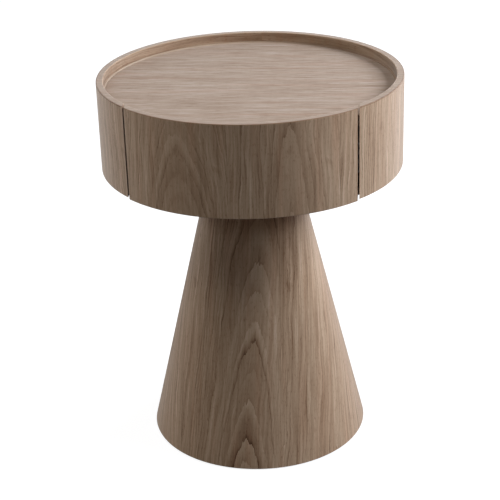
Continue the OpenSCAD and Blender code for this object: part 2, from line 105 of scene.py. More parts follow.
class Value:
    """A socket in a tree of nodes, written into sums like a plain number."""

    def __init__(self, tree, socket):
        self.tree = tree
        self.socket = socket

    def math(self, operation, *others):
        """This value and the others through one Math node."""
        return self.tree.node("ShaderNodeMath", {"operation": operation}, [self, *others])

    def __add__(self, other):
        return self.math("ADD", other)

    def __mul__(self, other):
        return self.math("MULTIPLY", other)

    __radd__ = __add__
    __rmul__ = __mul__

    def __sub__(self, other):
        return self.math("SUBTRACT", other)

    def __rsub__(self, other):
        return self.tree.node("ShaderNodeMath", {"operation": "SUBTRACT"}, [other, self])

    def __truediv__(self, other):
        return self.math("DIVIDE", other)

    def __pow__(self, power):
        return self.math("POWER", power)

    def fraction(self):
        """What is left behind the decimal point."""
        return self.math("FRACT")

    def whole(self):
        """The whole number below this value."""
        return self.math("FLOOR")

    def size(self):
        """This value without its sign."""
        return self.math("ABSOLUTE")

    def root(self):
        """The square root."""
        return self.math("SQRT")

    def at_least(self, other):
        """The larger of the two."""
        return self.math("MAXIMUM", other)

    def step(self, start, end):
        """Rises softly from 0 at `start` to 1 at `end`."""
        return self.tree.node(
            "ShaderNodeMapRange", {"interpolation_type": "SMOOTHSTEP"},
            {"Value": self, "From Min": start, "From Max": end},
        )

    def other(self, number):
        """Another output of the same node."""
        return Value(self.tree, self.socket.node.outputs[number])


# %% [markdown]
# Blender's own way to add a node takes a line for the node and one more for each setting and
# link. Here every node comes from one method. It makes the settings first, because some of them
# change which sockets a node has, and then fills or links the sockets. The helpers after it are
# nodes that come back often: blends, soft noise, noise drawn out into streaks, and dice.

# %% A tree of nodes with one way in


class Tree:
    """A tree of nodes, and the one method that adds a node to it."""

    def __init__(self, node_tree):
        self.nodes = node_tree.nodes
        self.links = node_tree.links
        self.nodes.clear()

    def node(self, kind, settings=None, sockets=None, out=0):
        """Adds a node. Its settings come first, then its sockets, by place or by name."""
        made = self.nodes.new(kind)
        for name, setting in (settings or {}).items():
            if name == "stops":
                self.set_stops(made.color_ramp, setting)
            else:
                setattr(made, name, setting)
        pairs = sockets.items() if isinstance(sockets, dict) else enumerate(sockets or [])
        for key, value in pairs:
            self.join(value, made.inputs[key])
        return Value(self, made.outputs[out]) if made.outputs else made

    def join(self, value, socket):
        """Links a value to a socket, or writes a plain number or colour into it."""
        if isinstance(value, Value):
            self.links.new(value.socket, socket)
        else:
            socket.default_value = value

    def set_stops(self, ramp, stops):
        """Gives a colour ramp its stops, as pairs of place and colour."""
        while len(ramp.elements) < len(stops):
            ramp.elements.new(1.0)
        for element, (place, colour) in zip(ramp.elements, stops):
            element.position = place
            element.color = colour

    def point(self, x, y, z):
        """Three values as one vector."""
        return self.node("ShaderNodeCombineXYZ", None, [x, y, z])

    def parts(self, vector):
        """The three values of a vector."""
        x = self.node("ShaderNodeSeparateXYZ", None, [vector])
        return x, x.other(1), x.other(2)

    def blend(self, share, low, high, mode="MIX"):
        """One colour where `share` is 0 and the other where it is 1."""
        settings = {"data_type": "RGBA", "blend_type": mode}
        return self.node("ShaderNodeMix", settings, {0: share, 6: low, 7: high}, out=2)

    def cloud(self, vector, detail=2.0):
        """Soft random values round 0.5 that change over about one unit."""
        sockets = {"Vector": vector, "Scale": 1.0, "Detail": detail}
        return self.node("ShaderNodeTexNoise", None, sockets)

    def streaks(self, across, along, wide, long, seed, detail=2.0):
        """Random streaks `wide` across the grain and `long` along it, from -0.5 to 0.5."""
        return self.cloud(self.point(across / wide, along / long, seed), detail) - 0.5

    def dice(self, number):
        """One fixed random value from 0 to 1 for each whole number."""
        return self.node("ShaderNodeTexWhiteNoise", {"noise_dimensions": "1D"}, {"W": number})


# %% [markdown]
# ## Colours as they are seen
#
# Colours are written as the red, green and blue from 0 to 255 that a screen shows, since that
# is how one reads them from any picture. Blender counts light, and light isn't in step with
# those numbers, so `seen` turns one into the other.

# %% Colours from the numbers of a screen


def seen(red, green, blue):
    """A screen colour as the amounts of light that Blender wants."""
    def light(part):
        part = part / 255
        return part / 12.92 if part <= 0.04045 else ((part + 0.055) / 1.055) ** 2.4
    return (light(red), light(green), light(blue), 1.0)


print("a middle grey of 128 is this much light:", round(seen(128, 128, 128)[0], 3))

# %% [markdown]
# A finish is one material with one main shader. Every finish here needs the same start, which is
# the place of each point in millimetres and the way the surface faces, and the same end, which is
# colour, roughness and bump. So both are written once, and a finish only adds what lies between.

# %% A paint with its shader


class Paint(Tree):
    """A finish: one shader whose colour, roughness and bump come from formulas.

    Numbers in `plain` are the same all over the surface and go straight into its sockets.
    """

    def __init__(self, name, **plain):
        self.material = bpy.data.materials.new(name)
        self.material.use_nodes = True
        super().__init__(self.material.node_tree)
        self.plain = {socket.replace("_", " "): number for socket, number in plain.items()}
        place = self.node("ShaderNodeTexCoord", out=3)
        scaled = self.node(
            "ShaderNodeVectorMath", {"operation": "SCALE"}, {0: place, "Scale": 1 / MM}
        )
        self.x, self.y, self.z = self.parts(scaled)
        self.normal_x, self.normal_y, self.normal_z = self.parts(place.other(1))

    def finish(self, colour, roughness, height, deep):
        """Makes the shader. `deep` is how many millimetres one unit of `height` stands up."""
        bump = self.node(
            "ShaderNodeBump", None, {"Strength": 0.5, "Distance": deep * MM, "Height": height}
        )
        sockets = {"Base Color": colour, "Roughness": roughness, "Normal": bump, **self.plain}
        shader = self.node("ShaderNodeBsdfPrincipled", None, sockets)
        self.node("ShaderNodeOutputMaterial", None, [shader])
        print("finish:", self.material.name, "with", len(self.nodes), "nodes")


def wear(paint, *names):
    """Puts a finish on pieces of the model."""
    for name in names:
        nodes[name].material_slots[0].material = paint.material


# %% [markdown]
# ## The camera
#
# The camera could be pushed about by hand until the view looks right. Here its place and aim were
# worked out from outlines in the picture, which is surer: the oval of the rim, the two seams
# beside the drawer, the neck and the foot. A long lens from a little over two metres away keeps
# the uprights nearly parallel. The picture was held a little askew, so the camera is also turned
# about its own axis by less than two degrees.

# %% Camera
CAMERA_PLACE = Vector((0.20392, -2.09858, 1.25968))
CAMERA_TURN = math.radians(5.7733)
CAMERA_DOWN = math.radians(24.3599)
CAMERA_ROLL = math.radians(-1.7940)
SENSOR_WIDE = 36.0
LENS_LONG = 103.35

for spare in [thing for thing in bpy.data.objects if thing.name in ("Cube", "Camera", "Light")]:
    bpy.data.objects.remove(spare)

camera_data = bpy.data.cameras.new("camera")
camera_data.sensor_width = SENSOR_WIDE
camera_data.lens = LENS_LONG
camera = bpy.data.objects.new("camera", camera_data)
scene.collection.objects.link(camera)
camera.matrix_world = (
    Matrix.Translation(CAMERA_PLACE)
    @ Matrix.Rotation(CAMERA_TURN, 4, "Z")
    @ Matrix.Rotation(math.radians(90) - CAMERA_DOWN, 4, "X")
    @ Matrix.Rotation(CAMERA_ROLL, 4, "Z")
)
scene.camera = camera
scene.view_settings.view_transform = "Standard"
print("camera looks along", [round(-v, 4) for v in camera.matrix_world.col[2][:3]])

# %% [markdown]
# ## Floor, background and light
#
# The nightstand stands in a white studio with a window-like light at its right and weaker ones
# behind it. Little light comes from the front, and that from high up, which is why the drum and
# the cone are darkest left of their middle, and why the drum shades the neck. A white floor and
# a white sky would wash that shade out. So the sky lights nothing, and the floor is a grey that
# glows only for rays that come from the camera or from a reflection. Both look white, and the
# floor keeps the soft shadow round the foot. A camera below it sees through to the underside.

# %% World and floor
WHITE = (1.0, 1.0, 1.0, 1.0)
FLOOR_GREY = (0.29, 0.29, 0.29, 1.0)
GLOW_NEAR = 0.88
GLOW_FAR = 1.0
NEAR_END = 0.5
FAR_START = 1.8
FLOOR_HALF = 60.0


def direct_view(tree):
    """1 for rays from the camera, a reflection or through glass, and 0 for light that bounces."""
    camera_ray = tree.node("ShaderNodeLightPath")
    return camera_ray.at_least(camera_ray.other(3)).at_least(camera_ray.other(6))


world = bpy.data.worlds.new("studio")
world.use_nodes = True
scene.world = world
sky = Tree(world.node_tree)
sky_light = sky.node("ShaderNodeBackground", None, [WHITE, direct_view(sky)])
sky.node("ShaderNodeOutputWorld", None, [sky_light])

floor_material = bpy.data.materials.new("studio_floor")
floor_material.use_nodes = True
ground = Tree(floor_material.node_tree)
grey = ground.node("ShaderNodeBsdfDiffuse", None, [FLOOR_GREY])
east, north, _ = ground.parts(ground.node("ShaderNodeTexCoord", out=3))
away = (east * east + north * north).root().step(NEAR_END, FAR_START)
glow_level = GLOW_NEAR + (GLOW_FAR - GLOW_NEAR) * away
glow = ground.node("ShaderNodeEmission", None, [WHITE, glow_level * direct_view(ground)])
both = ground.node("ShaderNodeAddShader", None, [grey, glow])
from_below = ground.node("ShaderNodeNewGeometry", out=6) * ground.node("ShaderNodeLightPath")
clear = ground.node("ShaderNodeBsdfTransparent")
one_way = ground.node("ShaderNodeMixShader", None, [from_below, both, clear])
ground.node("ShaderNodeOutputMaterial", None, [one_way])

floor_mesh = bpy.data.meshes.new("floor")
corners = [(-FLOOR_HALF, -FLOOR_HALF, 0), (FLOOR_HALF, -FLOOR_HALF, 0),
           (FLOOR_HALF, FLOOR_HALF, 0), (-FLOOR_HALF, FLOOR_HALF, 0)]
floor_mesh.from_pydata(corners, [], [(0, 1, 2, 3)])
floor_mesh.materials.append(floor_material)
floor = bpy.data.objects.new("floor", floor_mesh)
scene.collection.objects.link(floor)
print("floor is", 2 * FLOOR_HALF, "metres wide")

# %% [markdown]
# A lamp's power says little by itself, because its light thins with the square of the distance.
# So each softbox is placed by its direction, as a compass would give it, and is given the level
# at which it lights a white card that faces it. The power is worked out from that. To find the
# five levels, each lamp was rendered alone, and their sum was fitted to the tones of the picture.
# Together they light a white card that lies on the tray to a level of about 1, so colours render
# about as they are written.

# %% Softboxes
AIM = Vector((0.0, 0.0, 0.45))
LAMP_AWAY = 2.2
DAYLIGHT = (0.95, 1.0, 1.08)


def softbox(name, turn, rise, size, level, colour=(1.0, 1.0, 1.0)):
    """A square soft lamp, `turn` degrees round from the right and `rise` degrees up."""
    lamp = bpy.data.lights.new(name, "AREA")
    lamp.color = colour
    lamp.shape = "SQUARE"
    lamp.size = size
    flat = math.cos(math.radians(rise))
    toward = Vector((
        flat * math.cos(math.radians(turn)), flat * math.sin(math.radians(turn)),
        math.sin(math.radians(rise)),
    ))
    lamp.energy = level * math.pi ** 2 * LAMP_AWAY ** 2
    made = bpy.data.objects.new(name, lamp)
    scene.collection.objects.link(made)
    made.location = AIM + LAMP_AWAY * toward
    made.rotation_euler = (-toward).to_track_quat("-Z", "Y").to_euler()
    made.visible_camera = False
    print("softbox", name, "level", level, "power", round(lamp.energy, 1), "W")


softbox("right_window", turn=0, rise=34, size=1.1, level=0.94, colour=DAYLIGHT)
softbox("right_rear", turn=45, rise=10, size=1.3, level=0.60, colour=DAYLIGHT)
softbox("left_rear", turn=150, rise=10, size=1.3, level=0.27)
softbox("left_front_high", turn=228, rise=62, size=1.3, level=0.31)
softbox("left_side", turn=180, rise=32, size=1.3, level=0.14)

# %% [markdown]
# ## The figure of the veneer
#
# The whole outside is one grey-brown veneer with a satin lacquer. Veneer is sliced from a log
# in leaves. Where a leaf cuts through the growth rings at a slant it shows pointed arches, the
# cathedral figure, and further out it shows straight lines. A picture of wood would be easy,
# but this finish is built from what makes the figure: rings round the heart of a log that
# leans against the cut. `across` and `along` are the two directions of the leaf. The distance
# from the heart, counted in rings, gives the lines, and noise bends them as real growth does.

# %% Growth rings on a leaf
RING = 3.4
HEART_DEPTH = 80.0
PEAK_SHARP = 1.5
FLANK_START = 26.0
MIDDLE_TONE = 0.66
DARK_LINE = 0.62
PALE_LINE = 0.24


def leaf_figure(paint, across, along, heart, peak, lean, vivid, seed):
    """How pale a leaf of veneer is at each point: 0 is the darkest line, 1 the palest streak.

    `heart` and `peak` are where the arches stand and where their points are, `lean` is how
    steeply the log leans against the cut, and `vivid` is how strong the arches are.
    """
    # Slow and quick noise bends the leaf, so that no ring is drawn with a ruler.
    drift = paint.streaks(across, along, 55, 220, seed)
    sway = paint.streaks(across, along, 15, 75, seed + 1)
    fray = paint.streaks(across, along, 3.2, 13, seed + 2)
    bent = across + 18 * drift + 8 * sway + 2.6 * fray
    # The distance from the heart, sideways and in depth, is counted in rings.
    side = (bent - heart).size() + PEAK_SHARP
    flank = (side / FLANK_START).step(0.2, 1.3)
    ragged = paint.streaks(across, along, 4, 26, seed + 12) * (1 - flank)
    deep = (along + 30 * ragged - peak) * lean + HEART_DEPTH
    reach = (side * side + deep * deep).root()
    uneven = paint.cloud(paint.point(reach / 11, seed, 0.5), 2.0)
    count = reach / RING + 4.0 * uneven
    share = count.fraction()
    # Each ring is dealt its own strength, and fades in and out along its way.
    patchy = paint.streaks(across, along, 20, 60, seed + 9).step(-0.2, 0.2)
    dealt = paint.dice(count.whole() + seed)
    strength = (0.08 + 0.92 * dealt ** (1.0 + flank)) * (0.4 + 0.6 * patchy)
    strength = strength * (vivid + (1 - vivid) * flank)
    dark_line = (1 - share) ** 3.0 * strength
    pale_line = share ** 4.0 * strength
    # Streaks of every width follow the rings or the fibres between them.
    broad = paint.streaks(reach, along, 11, 600, seed + 3)
    band = paint.streaks(reach, along, 4.5, 300, seed + 4)
    fibre = paint.streaks(bent, along, 3.6, 120, seed + 5)
    fine = paint.streaks(bent, along, 1.6, 45, seed + 6)
    silk = paint.streaks(bent, along, 2.6, 150, seed + 10).step(0.12, 0.28) * flank
    flecks = paint.streaks(bent, along, 1.8, 7, seed + 11, 1.0).step(0.08, 0.24)
    pores = paint.streaks(bent, along, 0.55, 8, seed + 7, 1.0).step(0.10, 0.20)
    smudge = paint.streaks(bent, along, 20, 34, seed + 13).step(0.12, 0.30)
    pale = MIDDLE_TONE + 0.50 * broad + 0.50 * band + 0.31 * fine
    pale = pale + (0.22 + 0.54 * flank) * fibre + 0.20 * silk
    pale = pale - DARK_LINE * dark_line + PALE_LINE * pale_line
    pale = pale - 0.14 * flecks - 0.10 * pores - 0.14 * smudge
    return pale, pores, dark_line


print("rings are", RING, "mm apart, and the heart lies", HEART_DEPTH, "mm deep")

# %% [markdown]
# The figure only says how pale the wood is. A ramp of five browns turns that into colour. A ramp
# alone looks printed, because real wood also drifts between rosy and grey, so slow patches are
# multiplied with a rosy tint. The lacquer is satin. A glossy coat over the wood would mirror the
# lamps, and the real one doesn't, so it has little gloss and a soft sheen at flat angles.

# %% The lacquered veneer's colours
VENEER_TONES = [
    (0.00, seen(94, 66, 45)),
    (0.30, seen(148, 116, 90)),
    (0.55, seen(181, 150, 122)),
    (0.80, seen(207, 178, 150)),
    (1.00, seen(226, 200, 175)),
]
ROSY = seen(255, 228, 216)
ROSY_SHARE = 0.28
LACQUER = {"Specular_IOR_Level": 0.08, "Sheen_Weight": 0.55, "Sheen_Roughness": 0.4}
PORE_DEEP = 0.06


def veneer_colour(paint, pale, across, along, seed, tint):
    """The colour for each paleness, with a slow drift from rosy to grey brown."""
    colour = paint.node("ShaderNodeValToRGB", {"stops": VENEER_TONES}, [pale])
    rosy = paint.streaks(across, along, 14, 260, seed + 8).step(-0.05, 0.25)
    drifted = paint.blend(ROSY_SHARE * rosy, colour, ROSY, "MULTIPLY")
    return paint.blend(1.0, drifted, tint, "MULTIPLY")


def lacquered(paint, colour, pores, lines):
    """Open pores and dark lines are a little duller than the wood beside them, and lower."""
    paint.finish(colour, 0.56 + 0.12 * pores + 0.06 * lines, 0 - pores - 0.3 * lines, PORE_DEEP)


print("veneer tones from dark to pale:", len(VENEER_TONES))

# %% [markdown]
# ## Veneer on the drum
#
# The drum's wall is a bent band. Outside, leaves of veneer stand upright on it, side by side.
# Inside the lip the grain runs round, on the rim it lies level, and a cut shows bent layers. Each
# could be a material of its own, put on chosen faces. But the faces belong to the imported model,
# and it isn't touched. So one material finds out from the direction of the surface which of the
# four it is on. The drawer front is a piece of the same band and wears the same material, so the
# figure runs on across the seams without any fitting.

# %% Which side of the band a point is on
DRUM_LEAF = 168.0
DRUM_JOINT = -14.0
DRUM_HEART = 93.0
DRUM_PEAK = 543.0
DRUM_SLIP = 38.0
STRAIGHT_SHIFT = 190.0
SEAM_DARK = 0.25

band_veneer = Paint("band_veneer", **LACQUER)
radius = (band_veneer.x * band_veneer.x + band_veneer.y * band_veneer.y).root()
facing = (band_veneer.x * band_veneer.normal_x + band_veneer.y * band_veneer.normal_y) / radius
outside = facing.step(0.80, 0.95)
inside = facing.step(-0.80, -0.95)
level_face = band_veneer.normal_z.size().step(0.75, 0.95)
angle = band_veneer.x.math("ARCTAN2", 0 - band_veneer.y)
arc = angle * DRUM_RADIUS
print("the drum is", round(2 * math.pi * DRUM_RADIUS), "mm round")

# %% [markdown]
# The way round the drum, divided by the width of a leaf, gives the leaves: the whole part says
# which leaf it is, and the rest says where across it. Leaves are laid as they were sliced, so
# neighbours look alike, and the front has two with the cathedral, one strong and one faint. The
# same leaf all round would be simpler, but looks stamped. So behind, two leaves with the figure
# and two straight ones, whose heart lies far outside them, take turns.

# %% Leaves round the drum
leaf_place = (arc - DRUM_JOINT) / DRUM_LEAF
leaf_number = leaf_place.whole()
leaf_across = leaf_place.fraction() * DRUM_LEAF
leaf_peak = DRUM_PEAK + DRUM_SLIP * leaf_number
odd_leaf = (leaf_number / 2).fraction() * 2
in_four = ((leaf_number + 1) / 4).fraction()
fourth_leaf = in_four.step(0.6, 0.65)
third_leaf = in_four.step(0.35, 0.40) - fourth_leaf
leaf_heart = DRUM_HEART + STRAIGHT_SHIFT * (third_leaf - fourth_leaf)
upright, upright_pores, upright_lines = leaf_figure(
    band_veneer, leaf_across + 3 * leaf_number, band_veneer.z, heart=leaf_heart, peak=leaf_peak,
    lean=0.03 + 0.08 * odd_leaf, vivid=1.0 - 0.7 * odd_leaf, seed=3.0
)
round_pale, round_pores, round_lines = leaf_figure(
    band_veneer, band_veneer.z + radius, arc, heart=900.0, peak=0.0, lean=0.05, vivid=1.0, seed=17.0
)
seam_share = (leaf_place.fraction() - 0.5).size()
leaf_seam = seam_share.step(0.5 - 0.5 / DRUM_LEAF, 0.5)
pale = outside * (upright - SEAM_DARK * leaf_seam) + (1 - outside) * round_pale
print("leaves round the drum:", round(2 * math.pi * DRUM_RADIUS / DRUM_LEAF, 1))

# %% [markdown]
# The top of the band is the rim round the tray. A strip of veneer covers it, with its grain from
# side to side as on the tray. Its outer edge shows as a darker line, where the veneers meet, and
# its inner edge is painted paler, a painted highlight where the edge would catch the light.
# The rim is flat and both lines are only a millimetre or two wide, so nothing is bevelled, and
# height and radius mask them.

# %% The rim and its two edges
RIM_TOP = box_mm("side_band")[1].z
OUTER_EDGE_DARK = 0.26
INNER_EDGE_HIGHLIGHT = 0.20

rim_fibre = band_veneer.streaks(band_veneer.y, band_veneer.x, 3.4, 60, 91.0)
rim_fine = band_veneer.streaks(band_veneer.y, band_veneer.x, 1.5, 30, 92.0)
rim_pale = 0.58 + 0.55 * rim_fibre + 0.45 * rim_fine
pale = level_face * rim_pale + (1 - level_face) * pale
at_top = band_veneer.z.step(RIM_TOP - 2.4, RIM_TOP - 1.2)
outer_edge = at_top * radius.step(DRUM_RADIUS - 2.2, DRUM_RADIUS - 1.2)
# Painted highlight: the rim's inner edge is made paler, where the edge would catch the light.
inner_edge_highlight = at_top * radius.step(BAND_INSIDE + 2.2, BAND_INSIDE + 1.2)
pale = pale - OUTER_EDGE_DARK * outer_edge + INNER_EDGE_HIGHLIGHT * inner_edge_highlight
print("the rim is", round(DRUM_RADIUS - BAND_INSIDE, 1), "mm wide, at", round(RIM_TOP, 1), "mm")

# %% [markdown]
# The band is bent from thin layers, glued one round the other. They show at the cut ends beside
# the drawer, every second one darker. They lie flush, so strips of their own would add faces and
# no shape. The distance from the drum's axis counts them instead. What isn't outside, inside or
# rim is a cut, so that mask is what is left over from the other three.

# %% Bent layers at the cut, and the finished band
BENT_LAYER = 1.4

layer = (radius - BAND_INSIDE) / BENT_LAYER
layer_dark = (layer / 2).fraction().step(0.45, 0.55)
layer_grain = band_veneer.streaks(radius, band_veneer.z, 0.8, 45, 95.0)
cut_pale = 0.66 + 0.5 * layer_grain - 0.26 * layer_dark
cut_face = ((1 - outside) - inside - level_face).at_least(0.0)
pale = cut_face * cut_pale + (1 - cut_face) * pale
# Painted shade: the inside of the lip is made a little darker all round, and darker towards the
# right, where it faces away from the main lamp.
right_side = (band_veneer.x / DRUM_RADIUS).step(-0.3, 0.8)
inside_painted_shade = band_veneer.blend(right_side, seen(226, 225, 226), seen(202, 202, 200))
lip_painted_shade = band_veneer.blend(inside, WHITE, inside_painted_shade)
rim_tint_and_lip_shade = band_veneer.blend(level_face, lip_painted_shade, seen(232, 236, 242))
veneer_tone = veneer_colour(band_veneer, pale, arc, band_veneer.z, 3.0, rim_tint_and_lip_shade)
pores = outside * upright_pores + (1 - outside) * round_pores
lines = outside * upright_lines + (1 - outside) * round_lines
lacquered(band_veneer, veneer_tone, pores, lines)
wear(band_veneer, "side_band", "drawer_front")

# %% [markdown]
# ## Veneer on the cone
#
# A sheet of veneer is flat, and a cone unrolls into a flat fan. So the straight leaves of a
# sheet don't run up the cone's own lines: they stay parallel on the sheet and stand more
# upright than the sides do. Grain that follows height and angle would crowd together at the
# neck, so the formula unrolls the cone. The angle round the cone, times the sine of its slope,
# is the angle in the fan, and the distance from the tip is the radius in it. Two such sheets go
# round: the front one reaches a little past both sides, and the other closes the back.

# %% The cone unrolled
CONE_NECK = 65.0
FRONT_SHEET = math.radians(99)
SLOPE = math.atan((CONE_RADIUS - CONE_NECK) / (CONE_TOP - CONE_FOOT))
CONE_TIP = CONE_FOOT + CONE_RADIUS / math.tan(SLOPE)
print("cone slopes", round(math.degrees(SLOPE), 2), "degrees, tip at", round(CONE_TIP, 1), "mm")

cone_veneer = Paint("cone_veneer", **LACQUER)
from_tip = (CONE_TIP - cone_veneer.z) / math.cos(SLOPE)
turned_front = cone_veneer.x.math("ARCTAN2", 0 - cone_veneer.y)
turned_back = cone_veneer.x.math("ARCTAN2", cone_veneer.y)
on_back = turned_front.size().step(FRONT_SHEET, FRONT_SHEET + 0.002)
sheet_angle = (1 - on_back) * turned_front + on_back * turned_back
fan_angle = sheet_angle * math.sin(SLOPE)
fan_across = from_tip * fan_angle.math("SINE")
fan_along = 0 - from_tip * fan_angle.math("COSINE")

# %% [markdown]
# The leaves are found as on the drum, but across the unrolled sheet. One joint between two of
# them shows on the front, right of the cathedral, and the two sheets meet in a dark line at each
# side. Close under the drum the veneer is painted darker, as painted shade. The shade there is
# deeper than soft lamps give, and lamps that gave it would darken the rest, so a small part of it
# is painted into the colour.

# %% Leaves on the cone
CONE_LEAF = 176.0
CONE_JOINT = 48.0
CONE_HEART = 131.0
CONE_MIDDLE = -500.0
CONE_PEAK = -483.0
CONE_SLIP = -48.0
BACK_SHIFT = 0.35
SHEET_JOINT_DARK = 0.30
NECK_PAINTED_SHADE = 0.30

cone_place = (fan_across - CONE_JOINT) / CONE_LEAF + BACK_SHIFT * on_back
cone_number = cone_place.whole()
odd = (cone_number / 2).fraction() * 2
in_three = ((cone_number + 1) / 3).fraction()
third = in_three.step(0.45, 0.55)
second = in_three.step(0.2, 0.25) - third
cone_heart = CONE_HEART + STRAIGHT_SHIFT * (second - third)
lean = (fan_along - CONE_MIDDLE) * (0.02 + 0.05 * odd)
cone_across = cone_place.fraction() * CONE_LEAF - lean
cone_peak = CONE_PEAK + CONE_SLIP * (cone_number + 1)
pale, pores, lines = leaf_figure(
    cone_veneer, cone_across + 5 * cone_number, fan_along, heart=cone_heart, peak=cone_peak,
    lean=0.075, vivid=1.5, seed=41.0
)
joint_share = (cone_place.fraction() - 0.5).size()
joint_dark = joint_share.step(0.5 - 0.8 / CONE_LEAF, 0.5)
sheet_joint = turned_front.size().step(FRONT_SHEET - 0.006, FRONT_SHEET) * (1 - on_back)
# Painted shade: the veneer is made darker just under the drum's overhang.
painted_neck_shade = cone_veneer.z.step(CONE_TOP - 105, CONE_TOP - 65)
pale = pale - SEAM_DARK * joint_dark - SHEET_JOINT_DARK * sheet_joint - NECK_PAINTED_SHADE * painted_neck_shade
cone_tone = veneer_colour(cone_veneer, pale, fan_across, fan_along, 41.0, seen(246, 245, 244))
lacquered(cone_veneer, cone_tone, pores, lines)
wear(cone_veneer, "cone_shell")

# %% [markdown]
# ## Veneer on the tray
#
# The tray is cut from a calmer leaf, and its grain runs from side to side. It shows fine level
# streaks and hardly any figure, so streaks of several lengths make it, and no rings. It catches
# light at a flat angle, where gloss would wash the grain out, so it has the least gloss.
# A strip of the same veneer is glued round its edge, which shows when the drawer is out.

# %% Tray finish
# The cool tint is partly the tray's own tone and partly painted sheen, the grey wash of top light
# on lacquer.
TRAY_TINT_AND_SHEEN = seen(229, 238, 255)

tray_veneer = Paint("tray_veneer", Specular_IOR_Level=0.05)
on_top = tray_veneer.normal_z.size().step(0.6, 0.8)
tray_round = tray_veneer.x.math("ARCTAN2", 0 - tray_veneer.y) * BAND_INSIDE
across = on_top * tray_veneer.y + (1 - on_top) * tray_veneer.z
along = on_top * tray_veneer.x + (1 - on_top) * tray_round
wavy = across + 4 * tray_veneer.streaks(across, along, 60, 200, 70.0)
wavy = wavy + 1.4 * tray_veneer.streaks(across, along, 4, 14, 77.0)
broad = tray_veneer.streaks(wavy, along, 24, 220, 71.0)
level_band = tray_veneer.streaks(wavy, along, 8, 115, 72.0)
fibre = tray_veneer.streaks(wavy, along, 3.2, 54, 73.0)
fine = tray_veneer.streaks(wavy, along, 1.4, 24, 74.0)
dashes = tray_veneer.streaks(wavy, along, 2.2, 22, 75.0).step(0.06, 0.25)
pores = tray_veneer.streaks(wavy, along, 0.55, 8, 76.0, 1.0).step(0.10, 0.20)
pale = 0.77 + 0.32 * broad + 0.36 * level_band + 0.52 * fibre + 0.45 * fine
pale = pale - 0.18 * dashes - 0.10 * pores
tray_tone = veneer_colour(tray_veneer, pale, wavy, along, 71.0, TRAY_TINT_AND_SHEEN)
tray_veneer.finish(tray_tone, 0.66 + 0.10 * pores, 0 - pores - 0.3 * dashes, 0.05)
wear(tray_veneer, "tray_panel")

# %% [markdown]
# A thin hollow bead fills the corner between tray and lip. It faces up and inwards and reads as a
# bright line, paler on the left. A glowing strip would be quick and false. It is the same wood
# with its grain running round, so it still darkens in shade, but its paleness is a painted
# highlight, and its fall to darker towards the right is painted shade.

# %% The bead, the same wood with a painted highlight
BEAD_TINT = seen(225, 232, 240)

bead_veneer = Paint("bead_veneer", Specular_IOR_Level=0.2)
bead_round = bead_veneer.x.math("ARCTAN2", bead_veneer.y) * BAND_INSIDE
bead_fibre = bead_veneer.streaks(bead_veneer.z, bead_round, 1.2, 40, 81.0)
bead_slow = bead_veneer.streaks(bead_veneer.z, bead_round, 6, 150, 82.0)
# Painted shade: the bead is made darker towards the right, so its painted highlight stays on the
# left.
bead_painted_shade = (bead_veneer.x / DRUM_RADIUS).step(-0.4, 0.6)
bead_pale_and_highlight = 0.78 - 0.42 * bead_painted_shade + 0.4 * bead_fibre + 0.4 * bead_slow
bead_tone = veneer_colour(bead_veneer, bead_pale_and_highlight, bead_veneer.z, bead_round, 81.0, BEAD_TINT)
bead_veneer.finish(bead_tone, 0.52 + 0.1 * bead_fibre, bead_fibre, 0.03)
wear(bead_veneer, "tray_bead")

# %% [markdown]
# ## Plywood, fibreboard and beech inside
#
# The carcass and the drawer are birch plywood. Its faces show pale wood with faint grain, and
# its edges show the layers, which is what tells plywood from solid wood. Edges and faces could
# have a material each, but the layers of a real board run on right through it. So one function
# counts the layers by place, and makes the finish for a board that is laid up along any axis.

# %% Plywood
PLY = 1.34
BIRCH = [(0.0, seen(140, 106, 70)), (0.5, seen(205, 176, 136)), (1.0, seen(232, 210, 174))]


def plywood(name, through, face, across, along, seed):
    """Birch plywood. `through` counts across its layers, `face` is 1 on the two outer layers."""
    paint = Paint(name, Specular_IOR_Level=0.3)
    through, face, across, along = (pick(paint) for pick in (through, face, across, along))
    grain = paint.streaks(across, along, 5, 90, seed) + paint.streaks(across, along, 0.9, 26, seed)
    cloudy = paint.streaks(across, along, 40, 160, seed + 1)
    face_pale = 0.55 + 0.5 * grain + 0.4 * cloudy
    ply = through / PLY
    turned_ply = (ply / 2).fraction().step(0.48, 0.52)
    glue_line = (ply.fraction() - 0.5).size().step(0.42, 0.5)
    speck = paint.streaks(across + through, along, 0.5, 0.7, seed + 2)
    edge_pale = 0.52 + 0.9 * speck * turned_ply - 0.2 * turned_ply - 0.35 * glue_line
    edge_pale = edge_pale + 0.2 * (paint.dice(ply.whole()) - 0.5)
    pale = face * face_pale + (1 - face) * edge_pale
    colour = paint.node("ShaderNodeValToRGB", {"stops": BIRCH}, [pale])
    paint.finish(colour, 0.55 - 0.1 * pale, pale, 0.05)
    return paint


def across_face(axis):
    """1 where the surface faces along the axis."""
    return lambda paint: getattr(paint, "normal_" + axis).size().step(0.6, 0.8)


def along_axis(axis):
    """The place along an axis, in millimetres."""
    return lambda paint: getattr(paint, axis)


ply_boards = [
    ("x", "z", "y", 5.0, ["left_partition", "right_partition", "drawer_left_side",
                          "drawer_right_side", "front_corner_blocks"]),
    ("y", "z", "x", 9.0, ["back_panel", "drawer_back"]),
    ("z", "x", "y", 13.0, ["drawer_bottom", "neck_disc", "former_ring", "upper_glue_blocks",
                           "lower_glue_blocks"]),
]
for through, across, along, seed, boards in ply_boards:
    board_ply = plywood("ply_facing_" + through, along_axis(through), across_face(through),
                        along_axis(across), along_axis(along), seed)
    wear(board_ply, *boards)

# %% [markdown]
# The cleat behind the drawer front is bent, so its layers lie round the drum's axis. The same
# function makes it, because it doesn't care what counts its layers: here it is the distance from
# the axis, and no second kind of plywood is needed.

